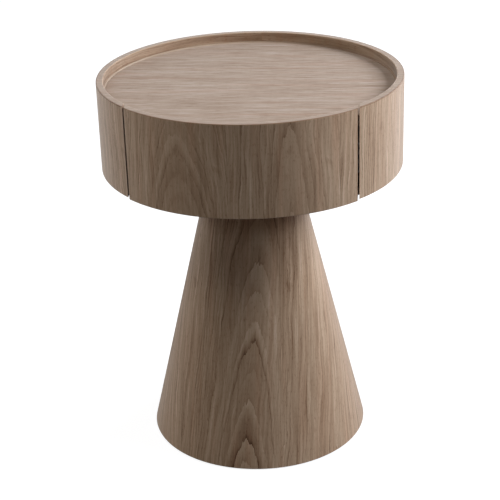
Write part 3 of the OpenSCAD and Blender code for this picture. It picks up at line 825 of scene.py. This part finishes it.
# %% Bent plywood for the cleat
bent_ply = plywood(
    "bent_ply", lambda paint: (paint.x * paint.x + paint.y * paint.y).root(),
    lambda paint: 1 - paint.normal_z.size().step(0.6, 0.8), along_axis("z"), along_axis("x"), 21.0,
)
wear(bent_ply, "front_cleat")

# %% [markdown]
# Fibreboard has no grain. It is pressed from fibres that lie both ways, and it is sealed with a
# brown lacquer here because it faces the floor. Beech, in the dowels, has short dark flecks along
# its fibres. Both are plain enough for a few streaks, so neither needs a function of its own.

# %% Fibreboard and beech
fibreboard = Paint("fibreboard", Specular_IOR_Level=0.3)
across, along = fibreboard.x, fibreboard.y
fibres = fibreboard.streaks(across, along, 1.2, 4.0, 2.0) + fibreboard.streaks(
    across, along, 5.0, 1.4, 3.0)
blotch = fibreboard.streaks(across, along, 60, 60, 4.0)
board_pale = 0.5 + 0.7 * fibres + 0.5 * blotch
board_tones = [(0.0, seen(78, 60, 46)), (0.5, seen(104, 84, 66)), (1.0, seen(134, 110, 88))]
board_tone = fibreboard.node("ShaderNodeValToRGB", {"stops": board_tones}, [board_pale])
fibreboard.finish(board_tone, 0.6 - 0.15 * board_pale, board_pale, 0.06)
wear(fibreboard, "drum_floor", "foot_ring")

beech = Paint("beech", Specular_IOR_Level=0.3)
flecks = beech.streaks(beech.x + beech.y, beech.z, 0.5, 3.5, 6.0).step(0.08, 0.2)
beech_pale = 0.6 + 0.5 * beech.streaks(beech.x - beech.y, beech.z, 1.5, 40, 7.0) - 0.4 * flecks
beech_tones = [(0.0, seen(170, 128, 86)), (1.0, seen(226, 192, 150))]
beech_tone = beech.node("ShaderNodeValToRGB", {"stops": beech_tones}, [beech_pale])
beech.finish(beech_tone, 0.62 + 0.1 * flecks, beech_pale, 0.05)
wear(beech, "carcass_dowels")

# %% [markdown]
# ## Metal, nylon and rubber
#
# The runners and screws are steel with a zinc plate, the balls are polished steel and the inserts
# turned brass. Plate isn't a mirror: it has a faint grain from rolling and small cloudy patches,
# some bluish and some warmer. An even grey with a high gloss looks like plastic, so one function
# varies colour and roughness for all three, and only the grain and the gloss differ.

# %% Metals


def metal(name, dark, bright, rough, along, wide, long, seed):
    """A bare metal with a brushed grain and a faint cloudiness."""
    paint = Paint(name, Metallic=1.0)
    along_grain = getattr(paint, along)
    across_grain = paint.x + paint.y + paint.z - along_grain
    brushed = paint.streaks(across_grain, along_grain, wide, long, seed)
    cloudy = paint.streaks(across_grain, along_grain, 7, 9, seed + 1)
    colour = paint.blend((0.5 + cloudy).step(0.3, 0.7), dark, bright)
    paint.finish(colour, rough + 0.2 * brushed + 0.04 * cloudy, brushed, 0.01)
    return paint


zinc = metal("zinc_plate", seen(157, 161, 166), seen(170, 171, 169), rough=0.38,
             along="y", wide=0.5, long=60, seed=31.0)
ball_steel = metal("ball_steel", seen(196, 198, 202), seen(214, 214, 216), rough=0.14,
                   along="z", wide=0.4, long=2, seed=33.0)
brass = metal("turned_brass", seen(196, 156, 84), seen(222, 186, 112), rough=0.30,
              along="z", wide=3, long=0.25, seed=35.0)
wear(zinc, "left_cabinet_rail", "right_cabinet_rail", "left_middle_rail", "right_middle_rail",
     "left_drawer_rail", "right_drawer_rail", "cabinet_rail_screws", "drawer_rail_screws",
     "front_screws", "neck_bolts", "bolt_washers")
wear(ball_steel, "left_outer_balls", "right_outer_balls", "left_inner_balls", "right_inner_balls")
wear(brass, "threaded_inserts")

# %% [markdown]
# The cages and glides are moulded nylon, and the bumpers are dull rubber. A moulded skin has no
# grain in any direction, only a fine unevenness. Real dents that small would need millions of
# faces, so noise in bump and roughness breaks up the light instead.

# %% Nylon and rubber


def moulded(name, dark, bright, rough, grain, specular):
    """A moulded plastic or rubber with a fine dull skin."""
    paint = Paint(name, Specular_IOR_Level=specular)
    place = paint.point(paint.x / grain, paint.y / grain, paint.z / grain)
    skin = paint.cloud(place, 3.0)
    slow = paint.cloud(paint.point(paint.x / 18, paint.y / 18, paint.z / 18))
    colour = paint.blend(slow.step(0.3, 0.7), dark, bright)
    paint.finish(colour, rough + 0.25 * (skin - 0.5), skin, 0.03)
    return paint


nylon = moulded("nylon", seen(222, 221, 214), seen(234, 234, 230), rough=0.42, grain=0.8,
                specular=0.4)
rubber = moulded("rubber", seen(30, 30, 31), seen(44, 43, 43), rough=0.75, grain=0.5,
                 specular=0.3)
wear(nylon, "left_outer_cage", "right_outer_cage", "left_inner_cage", "right_inner_cage",
     "floor_glides")
wear(rubber, "drawer_bumpers")

# %% [markdown]
# ## Small pieces in their real shapes
#
# The model keeps its screws, bolts, rails and glides plain, because they only have to hold and
# to be in the right place. Here each gets the shape it is made in: turned heads, cut threads,
# sunk drives and folded steel. They could be sculpted one by one, but most are round and come
# in sets. So each kind is made once and copied to where the model has its own solids, which the
# next cell finds by walking from corner to corner along the edges. It starts from the corners in
# their own order, so that every run finds the solids in the same order.

# %% Where the model has its separate solids


def solids_of(name):
    """Lowest and highest corner of each separate solid in a piece of the model, in mm."""
    work = bmesh.new()
    work.from_mesh(nodes[name].data)
    bmesh.ops.remove_doubles(work, verts=work.verts, dist=MM / 1000)
    waiting = set(work.verts)
    boxes = []
    for start in work.verts:
        if start not in waiting:
            continue
        waiting.remove(start)
        solid = []
        reached = [start]
        while reached:
            vert = reached.pop()
            solid.append(vert.co / MM)
            for edge in vert.link_edges:
                beyond = edge.other_vert(vert)
                if beyond in waiting:
                    waiting.remove(beyond)
                    reached.append(beyond)
        low = Vector([min(point[i] for point in solid) for i in range(3)])
        high = Vector([max(point[i] for point in solid) for i in range(3)])
        boxes.append((low, high))
    work.free()
    return boxes


def radius_and_length(boxes):
    """Half the width and the height of the first of some equal upright solids."""
    low, high = boxes[0]
    return (high.x - low.x) / 2, high.z - low.z


print("dowels in the model:", len(solids_of("carcass_dowels")))

# %% [markdown]
# Most of these pieces are round. Blender's Screw modifier turns a profile too, but threads,
# flutes and knurls need the radius to change on the way round. So this lathe sets each ring of
# corners itself, and may ask a small function how far out a corner lies.

# %% A lathe


def turned(profile, steps=32, shape=None, hollow=False):
    """Turns a list of radius and height round the upright axis. `shape` may change a radius."""
    work = bmesh.new()
    rings = []
    for radius, height in profile:
        ring = []
        for i in range(steps):
            angle = 2 * math.pi * i / steps
            reach = shape(radius, height, angle) if shape else radius
            ring.append(work.verts.new((reach * math.cos(angle), reach * math.sin(angle), height)))
        rings.append(ring)
    if hollow:
        rings.append(rings[0])
    for low, high in zip(rings, rings[1:]):
        for i in range(steps):
            j = (i + 1) % steps
            work.faces.new((low[i], low[j], high[j], high[i]))
    if not hollow:
        work.faces.new(rings[0])
        work.faces.new(rings[-1])
    bmesh.ops.recalc_face_normals(work, faces=work.faces)
    return work


def heights(start, end, gap):
    """Even heights from start to end, about `gap` apart."""
    count = max(1, round(abs(end - start) / gap))
    return [start + (end - start) * i / count for i in range(count + 1)]


def thread(pitch, deep, start, end):
    """A shape for `turned` that winds a groove round everything between two heights."""
    def cut(radius, height, angle):
        if not start < height < end:
            return radius
        turn = (height / pitch - angle / (2 * math.pi)) % 1.0
        groove = 1 - abs(2 * turn - 1)
        fade = min(1.0, (height - start) / pitch, (end - height) / pitch)
        return radius - deep * groove * fade
    return cut


print("heights from 0 to 10, about 3 apart:", [round(z, 2) for z in heights(0, 10, 3)])
# %% [markdown]
# Drives, sockets and slots are sunk into a finished shape, as a cutter or a punch does it. They
# could be built into the mesh face by face, but the Boolean modifier does the same cut for any
# shape and leaves it closed. Its result is kept, and both helper objects go away.

# %% Cutting one shape out of another


def prism(corners_low, low, corners_high, high):
    """A closed block between two outlines with as many corners each."""
    work = bmesh.new()
    bottom = [work.verts.new((x, y, low)) for x, y in corners_low]
    top = [work.verts.new((x, y, high)) for x, y in corners_high]
    work.faces.new(bottom)
    work.faces.new(top)
    for i in range(len(bottom)):
        j = (i + 1) % len(bottom)
        work.faces.new((bottom[i], bottom[j], top[j], top[i]))
    bmesh.ops.recalc_face_normals(work, faces=work.faces)
    return work


def as_object(work):
    """A bmesh as a plain object, for a modifier to work on."""
    mesh = bpy.data.meshes.new("blank")
    work.to_mesh(mesh)
    work.free()
    blank = bpy.data.objects.new("blank", mesh)
    scene.collection.objects.link(blank)
    return blank


def carved(work, tool):
    """What is left of one closed shape when another is cut out of it."""
    blank, cutter = as_object(work), as_object(tool)
    cut = blank.modifiers.new("cut", "BOOLEAN")
    cut.object = cutter
    cut.solver = "EXACT"
    finished = blank.evaluated_get(bpy.context.evaluated_depsgraph_get())
    left = bmesh.new()
    left.from_mesh(finished.to_mesh())
    finished.to_mesh_clear()
    bpy.data.objects.remove(blank)
    bpy.data.objects.remove(cutter)
    return left


# %% [markdown]
# In the model a set of screws is one piece with a solid for each screw. Here it becomes one mesh
# as well: the finished shape is copied to the place of each solid and turned the way it points.
# Copies as objects of their own would be easy too, but then each would have to say which body
# carries it. The last helper does that once for the set, and hides the plain piece it stands for.

# %% Copies in their places
SHARP_FROM = math.radians(32)


def aimed(place, direction):
    """A matrix that moves a shape to a place and turns its upright axis along a direction."""
    turn = Vector(direction).to_track_quat("Z", "Y").to_matrix().to_4x4()
    return Matrix.Translation(place) @ turn


def standing(boxes, above=0.0):
    """A matrix for each solid, on its middle line and `above` its lowest point."""
    return [Matrix.Translation(((low.x + high.x) / 2, (low.y + high.y) / 2, low.z + above))
            for low, high in boxes]


def facing_front(boxes):
    """A matrix for each solid that starts a shape at its back and turns it to the front."""
    return [aimed(((low.x + high.x) / 2, high.y, (low.z + high.z) / 2), (0, -1, 0))
            for low, high in boxes]


def stamped(pattern, places):
    """Copies of a shape in millimetres, one for each matrix, in metres."""
    mesh = bpy.data.meshes.new("pattern")
    pattern.to_mesh(mesh)
    pattern.free()
    work = bmesh.new()
    for place in places:
        before = len(work.verts)
        work.from_mesh(mesh)
        work.verts.ensure_lookup_table()
        added = work.verts[before:]
        bmesh.ops.transform(work, matrix=Matrix.Scale(MM, 4) @ place, verts=added)
    bpy.data.meshes.remove(mesh)
    return work


def mesh_piece(name, work, paint, body, slot, *stands_for):
    """Makes a piece of a shape in metres, puts it on its body, and hides the plain pieces it
    replaces.
    """
    mesh = bpy.data.meshes.new(name)
    work.to_mesh(mesh)
    work.free()
    mesh.shade_smooth()
    mesh.set_sharp_from_angle(angle=SHARP_FROM)
    mesh.materials.append(paint.material)
    piece = bpy.data.objects.new(name, mesh)
    scene.collection.objects.link(piece)
    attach(piece, body)
    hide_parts(*stands_for)
    print("piece:", name, "with", len(mesh.polygons), "faces")


print("turned to the front, the axis is", [round(v) for v in aimed((0, 0, 0), (0, -1, 0)).col[2]])

# %% [markdown]
# ### Screws
#
# A runner's screw has a low rounded head, because the rails pass close to it. The screws of the
# drawer front have a flat head that sinks into its block. Both have a cross-shaped drive that
# narrows downwards, and a coarse thread that thins out towards the point. The thread isn't a
# separate spiral: it is a groove that winds round the shank, which keeps the screw one solid.

# %% Screws
SCREW_RADIUS = 1.75
SCREW_HEAD = 3.5
SCREW_HEAD_HIGH = 1.6
SCREW_POINT = 3.0
SCREW_PITCH = 1.3
TIP_RADIUS = 0.3
THREAD_DEEP = 0.5
CORE_LEAST = 0.15
DRIVE_DEEP = 1.15


def cross(arm, half):
    """Corners of a cross with arms of the given reach and half width."""
    corner = [(arm, half), (half, half), (half, arm), (-half, arm), (-half, half), (-arm, half)]
    return corner + [(-x, -y) for x, y in corner]


def screw(head, length):
    """A screw along +Z whose head has the given profile and starts the drive."""
    top = head[0][1]
    straight = [(SCREW_RADIUS, z) for z in heights(head[-1][1], length - SCREW_POINT, 0.26)]
    point = [(TIP_RADIUS + (SCREW_RADIUS - TIP_RADIUS) * (length - z) / SCREW_POINT, z)
             for z in heights(length - SCREW_POINT, length, 0.26)[1:]]
    groove = thread(SCREW_PITCH, THREAD_DEEP, head[-1][1] + 0.4, length + SCREW_PITCH)
    shaped = turned(head + straight[1:] + point, 28,
                    lambda r, z, a: max(CORE_LEAST, groove(r, z, a)) if z > head[-1][1] else r)
    drive = prism(cross(2.0, 0.5), top - 0.3, cross(0.7, 0.3), top + DRIVE_DEEP)
    return carved(shaped, drive)


def screw_places(name, axis):
    """Where each screw starts, under its head. It points outwards if `axis` is 1, else inwards."""
    places = []
    for low, high in solids_of(name):
        place = (low + high) / 2
        way = axis if place.x > 0 else -axis
        place.x = low.x + SCREW_HEAD_HIGH if way > 0 else high.x - SCREW_HEAD_HIGH
        places.append(aimed(place, (way, 0, 0)))
    return places


pan_head = [(2.0, -1.6), (2.7, -1.5), (3.2, -1.15), (3.45, -0.6), (3.5, -0.15), (3.4, 0.0),
            (SCREW_RADIUS, 0.0)]
low, high = solids_of("cabinet_rail_screws")[0]
pan_length = high.x - low.x - SCREW_HEAD_HIGH
for name, body, stands_for, axis in (
    ("pan_screws_in_partitions", "carcass", "cabinet_rail_screws", 1),
    ("pan_screws_in_drawer", "drawer", "drawer_rail_screws", -1),
):
    pan_screws = stamped(screw(pan_head, pan_length), screw_places(stands_for, axis))
    mesh_piece(name, pan_screws, zinc, body, "zinc_steel", stands_for)

# %% [markdown]
# The drawer front is held from behind by screws in its corner blocks. They face backwards, and
# their heads lie flush in the wood. The same function makes them from a flat head's profile, so
# only the places are new.

# %% Sunk screws of the drawer front
front_boxes = solids_of("front_screws")
front_length = front_boxes[0][1].y - front_boxes[0][0].y
flat_head = [(SCREW_HEAD - 0.2, 0.0), (SCREW_HEAD, 0.15), (SCREW_RADIUS, 2.35)]
front_screws = stamped(screw(flat_head, front_length), facing_front(front_boxes))
mesh_piece("sunk_screws_in_front", front_screws, zinc, "drawer", "zinc_steel", "front_screws")

# %% [markdown]
# ### Bolts, washers and inserts
#
# Four bolts hold the drum on the cone. Each has a round head with a knurled side and a six-sided
# socket. A picture of knurls would do from far away, but they are real ridges here, since the
# exported mesh keeps shapes and not tricks of the light. One function gives the lathe the thread
# on the shank and the ridges on the head.

# %% Bolts
BOLT_RADIUS = 4.0
BOLT_PITCH = 1.25
BOLT_HEAD_HIGH = 5.0
KNURLS = 24
KNURL_DEEP = 0.24
SOCKET_REACH = 2.8
SOCKET_DEEP = 3.0

bolt_boxes = solids_of("neck_bolts")
head_radius, bolt_long = radius_and_length(bolt_boxes)
shank_long = bolt_long - BOLT_HEAD_HIGH
groove = thread(BOLT_PITCH, 0.6, -shank_long - BOLT_PITCH, -3.0)


def bolt_shape(radius, height, angle):
    """A thread on the shank, and ridges on the side of the head."""
    if height < 0:
        return groove(radius, height, angle)
    if radius < head_radius - 0.3:
        return radius
    return radius - KNURL_DEEP / 2 * (1 - math.cos(KNURLS * angle))


bolt_profile = [(3.0, -shank_long), (3.9, -shank_long + 0.8)]
bolt_profile += [(BOLT_RADIUS, z) for z in heights(-shank_long + 1.2, -0.05, BOLT_PITCH / 4)]
bolt_profile += [
    (head_radius - 0.35, 0.0), (head_radius, 0.35), (head_radius, BOLT_HEAD_HIGH - 0.7),
    (head_radius - 0.2, BOLT_HEAD_HIGH - 0.3), (head_radius - 0.8, BOLT_HEAD_HIGH),
]
sixths = [math.radians(60 * i) for i in range(6)]
six = [(SOCKET_REACH * math.cos(a), SOCKET_REACH * math.sin(a)) for a in sixths]
small_six = [(x * 0.9, y * 0.9) for x, y in six]
socket = prism(small_six, BOLT_HEAD_HIGH - SOCKET_DEEP, six, BOLT_HEAD_HIGH + 0.3)
bolt = carved(turned(bolt_profile, 2 * KNURLS, bolt_shape), socket)
mesh_piece("socket_bolts", stamped(bolt, standing(bolt_boxes, shank_long)), zinc, "carcass",
           "zinc_steel", "neck_bolts")

# %% [markdown]
# Each bolt stands on a washer with eased edges and runs into a brass insert, whose coarse outer
# thread bites into the wooden disc. Both are rings. The lathe can turn a ring in one go when the
# profile runs round the section and closes, so nothing has to be cut out.

# %% Washers and inserts
WASHER_HOLE = 4.3
WASHER_EASE = 0.25
INSERT_BORE = 4.05
COARSE_PITCH = 3.0
COARSE_DEEP = 0.7

washer_boxes = solids_of("bolt_washers")
washer_radius, washer_thick = radius_and_length(washer_boxes)
washer = turned([
    (WASHER_HOLE, 0.2), (WASHER_HOLE + 0.2, 0.0), (washer_radius - WASHER_EASE, 0.0),
    (washer_radius, WASHER_EASE), (washer_radius, washer_thick - WASHER_EASE),
    (washer_radius - WASHER_EASE, washer_thick), (WASHER_HOLE + 0.2, washer_thick),
    (WASHER_HOLE, washer_thick - 0.2),
], 48, hollow=True)
mesh_piece("eased_washers", stamped(washer, standing(washer_boxes)), zinc, "carcass",
           "zinc_steel", "bolt_washers")

insert_boxes = solids_of("threaded_inserts")
insert_radius, insert_long = radius_and_length(insert_boxes)
coarse = thread(COARSE_PITCH, COARSE_DEEP, 0.0, insert_long - 0.9)
outer = [(insert_radius - 0.8, 0.0)]
outer += [(insert_radius, z) for z in heights(0.8, insert_long - 1.0, 0.5)]
outer += [(insert_radius, insert_long - 0.4), (insert_radius - 0.3, insert_long)]
inner = [(INSERT_BORE + 0.4, insert_long), (INSERT_BORE, insert_long - 0.5),
         (INSERT_BORE, 0.5), (INSERT_BORE + 0.4, 0.0)]
insert = turned(outer + inner, 36,
                lambda r, z, a: coarse(r, z, a) if r > INSERT_BORE + 1 else r, hollow=True)
mesh_piece("coarse_inserts", stamped(insert, standing(insert_boxes)), brass, "carcass",
           "brass", "threaded_inserts")

# %% [markdown]
# ### Dowels, glides and bumpers
#
# A dowel is bought with flutes along it, so that glue can escape from a blind hole, and with
# tapered ends. The flutes could be cut one by one, but on the lathe they are a wave in the radius.

# %% Dowels
FLUTES = 12
FLUTE_DEEP = 0.18
TAPER = 1.2


def fluted(radius, height, angle):
    """Shallow flutes along a dowel."""
    return radius - FLUTE_DEEP / 2 * (1 - math.cos(FLUTES * angle))


dowel_boxes = solids_of("carcass_dowels")
dowel_radius, dowel_long = radius_and_length(dowel_boxes)
dowel = turned([(dowel_radius - 0.7, 0.0), (dowel_radius, TAPER),
                (dowel_radius, dowel_long - TAPER), (dowel_radius - 0.7, dowel_long)],
               4 * FLUTES, fluted)
mesh_piece("fluted_dowels", stamped(dowel, standing(dowel_boxes)), beech, "carcass", "beech",
           "carcass_dowels")

# %% [markdown]
# The glides are moulded with a rounded sole and a ribbed pin that is knocked into the wood. The
# bumpers are soft domes that the drawer closes against. Both are one profile on the lathe, and
# the ribs are only repeated steps in it, so a loop writes them.

# %% Glides and bumpers
SOLE = 4.5
PIN = 2.0
RIB_DEEP = 0.25

glide_boxes = solids_of("floor_glides")
glide_radius, glide_long = radius_and_length(glide_boxes)
glide_profile = [(glide_radius - 2.2, 0.0), (glide_radius - 1.1, 0.12), (glide_radius - 0.4, 0.5),
                 (glide_radius, 1.2), (glide_radius, SOLE - 0.6), (glide_radius - 0.2, SOLE - 0.2),
                 (glide_radius - 0.6, SOLE), (PIN, SOLE)]
for rib in heights(SOLE + 1.5, glide_long - 3.0, 2.0):
    glide_profile += [(PIN - RIB_DEEP, rib), (PIN, rib + 0.9), (PIN, rib + 1.1)]
glide_profile += [(PIN - RIB_DEEP, glide_long - 1.2), (PIN - 0.9, glide_long)]
mesh_piece("rounded_glides", stamped(turned(glide_profile, 48), standing(glide_boxes)), nylon,
           "carcass", "nylon", "floor_glides")

bumper_boxes = solids_of("drawer_bumpers")
bumper_size = bumper_boxes[0][1] - bumper_boxes[0][0]
bumper_radius = bumper_size.x / 2
dome = [(bumper_radius * math.cos(math.radians(a)),
         bumper_size.y * (0.45 + 0.55 * math.sin(math.radians(a)))) for a in range(0, 86, 12)]
bumper = turned([(bumper_radius - 0.3, 0.0), (bumper_radius, 0.3)] + dome, 40)
mesh_piece("domed_bumpers", stamped(bumper, facing_front(bumper_boxes)), rubber, "carcass",
           "rubber", "drawer_bumpers")

# %% [markdown]
# ### Folded rails
#
# A ball-bearing runner is three strips of steel, each folded into a channel, with a row of balls
# between them on both sides. A fold can't be sharp, so the strip goes round each bend in an arc,
# and where balls roll, the flange is pressed into a shallow groove. A bevel on the model's own
# rails would round the folds but not press the grooves. So the line of the strip is drawn in
# section, and given its thickness to both sides.

# %% The outline of a folded strip
STEEL = 1.2
BEND = 1.3
RACE = 0.3
RACE_WIDE = 1.3
FLANGE_STEPS = 14
OUTER_BALLS = 6.6
INNER_BALLS = 8.95


def bent_line(points, bend):
    """The points of a line, with an arc in place of each inner corner."""
    line = [Vector(points[0])]
    for before, corner, after in zip(points, points[1:], points[2:]):
        corner = Vector(corner)
        back = (Vector(before) - corner).normalized()
        onward = (Vector(after) - corner).normalized()
        centre = corner + (back + onward) * bend
        for i in range(7):
            swing = math.radians(90) * i / 6
            line.append(centre - onward * bend * math.cos(swing) - back * bend * math.sin(swing))
    line.append(Vector(points[-1]))
    return line


def strip_outline(line, thick):
    """The closed outline of a strip whose middle follows a line."""
    left, right = [], []
    for i, point in enumerate(line):
        along = line[min(i + 1, len(line) - 1)] - line[max(i - 1, 0)]
        beside = Vector((-along.y, along.x)).normalized() * thick / 2
        left.append(point + beside)
        right.append(point - beside)
    return left + right[::-1]


def channel(open_end, web, half, race):
    """The line of a channel from one lip to the other. `race` says how far a flange swells."""
    web_line = web + (STEEL / 2 if open_end > web else -STEEL / 2)
    edge = half - STEEL / 2
    corner_line = bent_line([(open_end, edge), (web_line, edge), (web_line, -edge),
                             (open_end, -edge)], BEND)
    first_bend = corner_line[1].x
    flange = [Vector((open_end + (first_bend - open_end) * i / FLANGE_STEPS, edge))
              for i in range(FLANGE_STEPS)]
    line = flange + corner_line[1:-1] + [Vector((p.x, -p.y)) for p in reversed(flange)]
    for point in line:
        if abs(point.y) > edge - 2 * BEND:
            point.y += math.copysign(race(point.x), point.y)
    return line


def away_from(ball, depth):
    """0 where the balls run, and nearly 1 a few millimetres beside them."""
    return 1 - math.exp(-((depth - ball) / RACE_WIDE) ** 2)


def outer_race(depth):
    """The cabinet rail's flange stands in beside the outer balls."""
    return -RACE * away_from(OUTER_BALLS, depth)


def inner_race(depth):
    """The drawer rail's flange stands out beside the inner balls."""
    return 0.8 * RACE * away_from(INNER_BALLS, depth)


def double_race(depth):
    """The middle rail has balls on both sides: it swells before the outer ones and pinches
    behind the inner ones."""
    if depth < OUTER_BALLS:
        return 0.7 * RACE * away_from(OUTER_BALLS, depth)
    if depth > INNER_BALLS:
        return -0.7 * RACE * away_from(INNER_BALLS, depth)
    return 0.0


print("corners in a cabinet rail:", len(strip_outline(channel(9.0, 0.0, 22.5, outer_race), STEEL)))

# %% [markdown]
# Each strip is drawn out to the length of its runner. The flat backs have the slots and holes
# that a factory punches for fixing, and they are cut while the strip still stands at the middle
# of the scene, where its back is easy to find. Then a matrix carries it to its place. The left
# runner is the right one mirrored, which is only a sign in that matrix.

# %% Rails
SLOT_LONG = 18.0
SLOT_HALF = 2.4
HOLE_HALF = 2.05
PUNCH_REACH = 3.0
PARTITION = box_mm("right_partition")[0].x


def slot_corners(long, half):
    """A hole with round ends, along the rail."""
    reach = long / 2 - half
    ends = [(math.radians(a), reach) for a in range(-90, 91, 20)]
    ends += [(math.radians(a), -reach) for a in range(90, 271, 20)]
    return [(shift + half * math.cos(a), half * math.sin(a)) for a, shift in ends]


def rail(name, stands_for, side, body, line, holes, back):
    """One folded rail. `side` is 1 for the right runner and -1 for the left, and `back` is how
    far the middle of its flat back is from the partition."""
    low, high = box_mm(stands_for)
    middle = (low.z + high.z) / 2
    outline = [(p.x, p.y) for p in strip_outline(line, STEEL)]
    work = prism(outline, low.y, outline, high.y)
    for place, long in holes:
        corners = slot_corners(long, SLOT_HALF if long > 2 * SLOT_HALF else HOLE_HALF)
        punch = prism(corners, back - PUNCH_REACH, corners, back + PUNCH_REACH)
        turn = Matrix.Translation((0, 0, low.y + place)) @ Matrix(
            ((0, 0, 1, 0), (0, 1, 0, 0), (1, 0, 0, 0), (0, 0, 0, 1)))
        bmesh.ops.transform(punch, matrix=turn, verts=punch.verts)
        bmesh.ops.recalc_face_normals(punch, faces=punch.faces)
        work = carved(work, punch)
    stand = Matrix(((-side, 0, 0, side * PARTITION), (0, 0, 1, 0), (0, 1, 0, middle),
                    (0, 0, 0, 1)))
    bmesh.ops.transform(work, matrix=Matrix.Scale(MM, 4) @ stand, verts=work.verts)
    bmesh.ops.recalc_face_normals(work, faces=work.faces)
    mesh_piece(name, work, zinc, body, "zinc_steel", stands_for)


fixing_holes = [(place, 2 * HOLE_HALF) for place in (32.0, 125.0, 218.0)]
fixing_holes += [(place, SLOT_LONG) for place in (60.0, 95.0, 155.0, 190.0)]
stop_holes = [(20.0, 10.0), (230.0, 10.0)]
for word, side in (("right", 1), ("left", -1)):
    rail("folded_%s_cabinet_rail" % word, word + "_cabinet_rail", side, "carcass",
         channel(open_end=9.0, web=0.0, half=22.5, race=outer_race), fixing_holes, back=0.6)
    rail("folded_%s_middle_rail" % word, word + "_middle_rail", side, word + "_middle",
         channel(open_end=11.1, web=4.2, half=17.9, race=double_race), stop_holes, back=4.8)
    rail("folded_%s_drawer_rail" % word, word + "_drawer_rail", side, "drawer",
         channel(open_end=6.8, web=12.7, half=13.3, race=inner_race), fixing_holes, back=12.1)
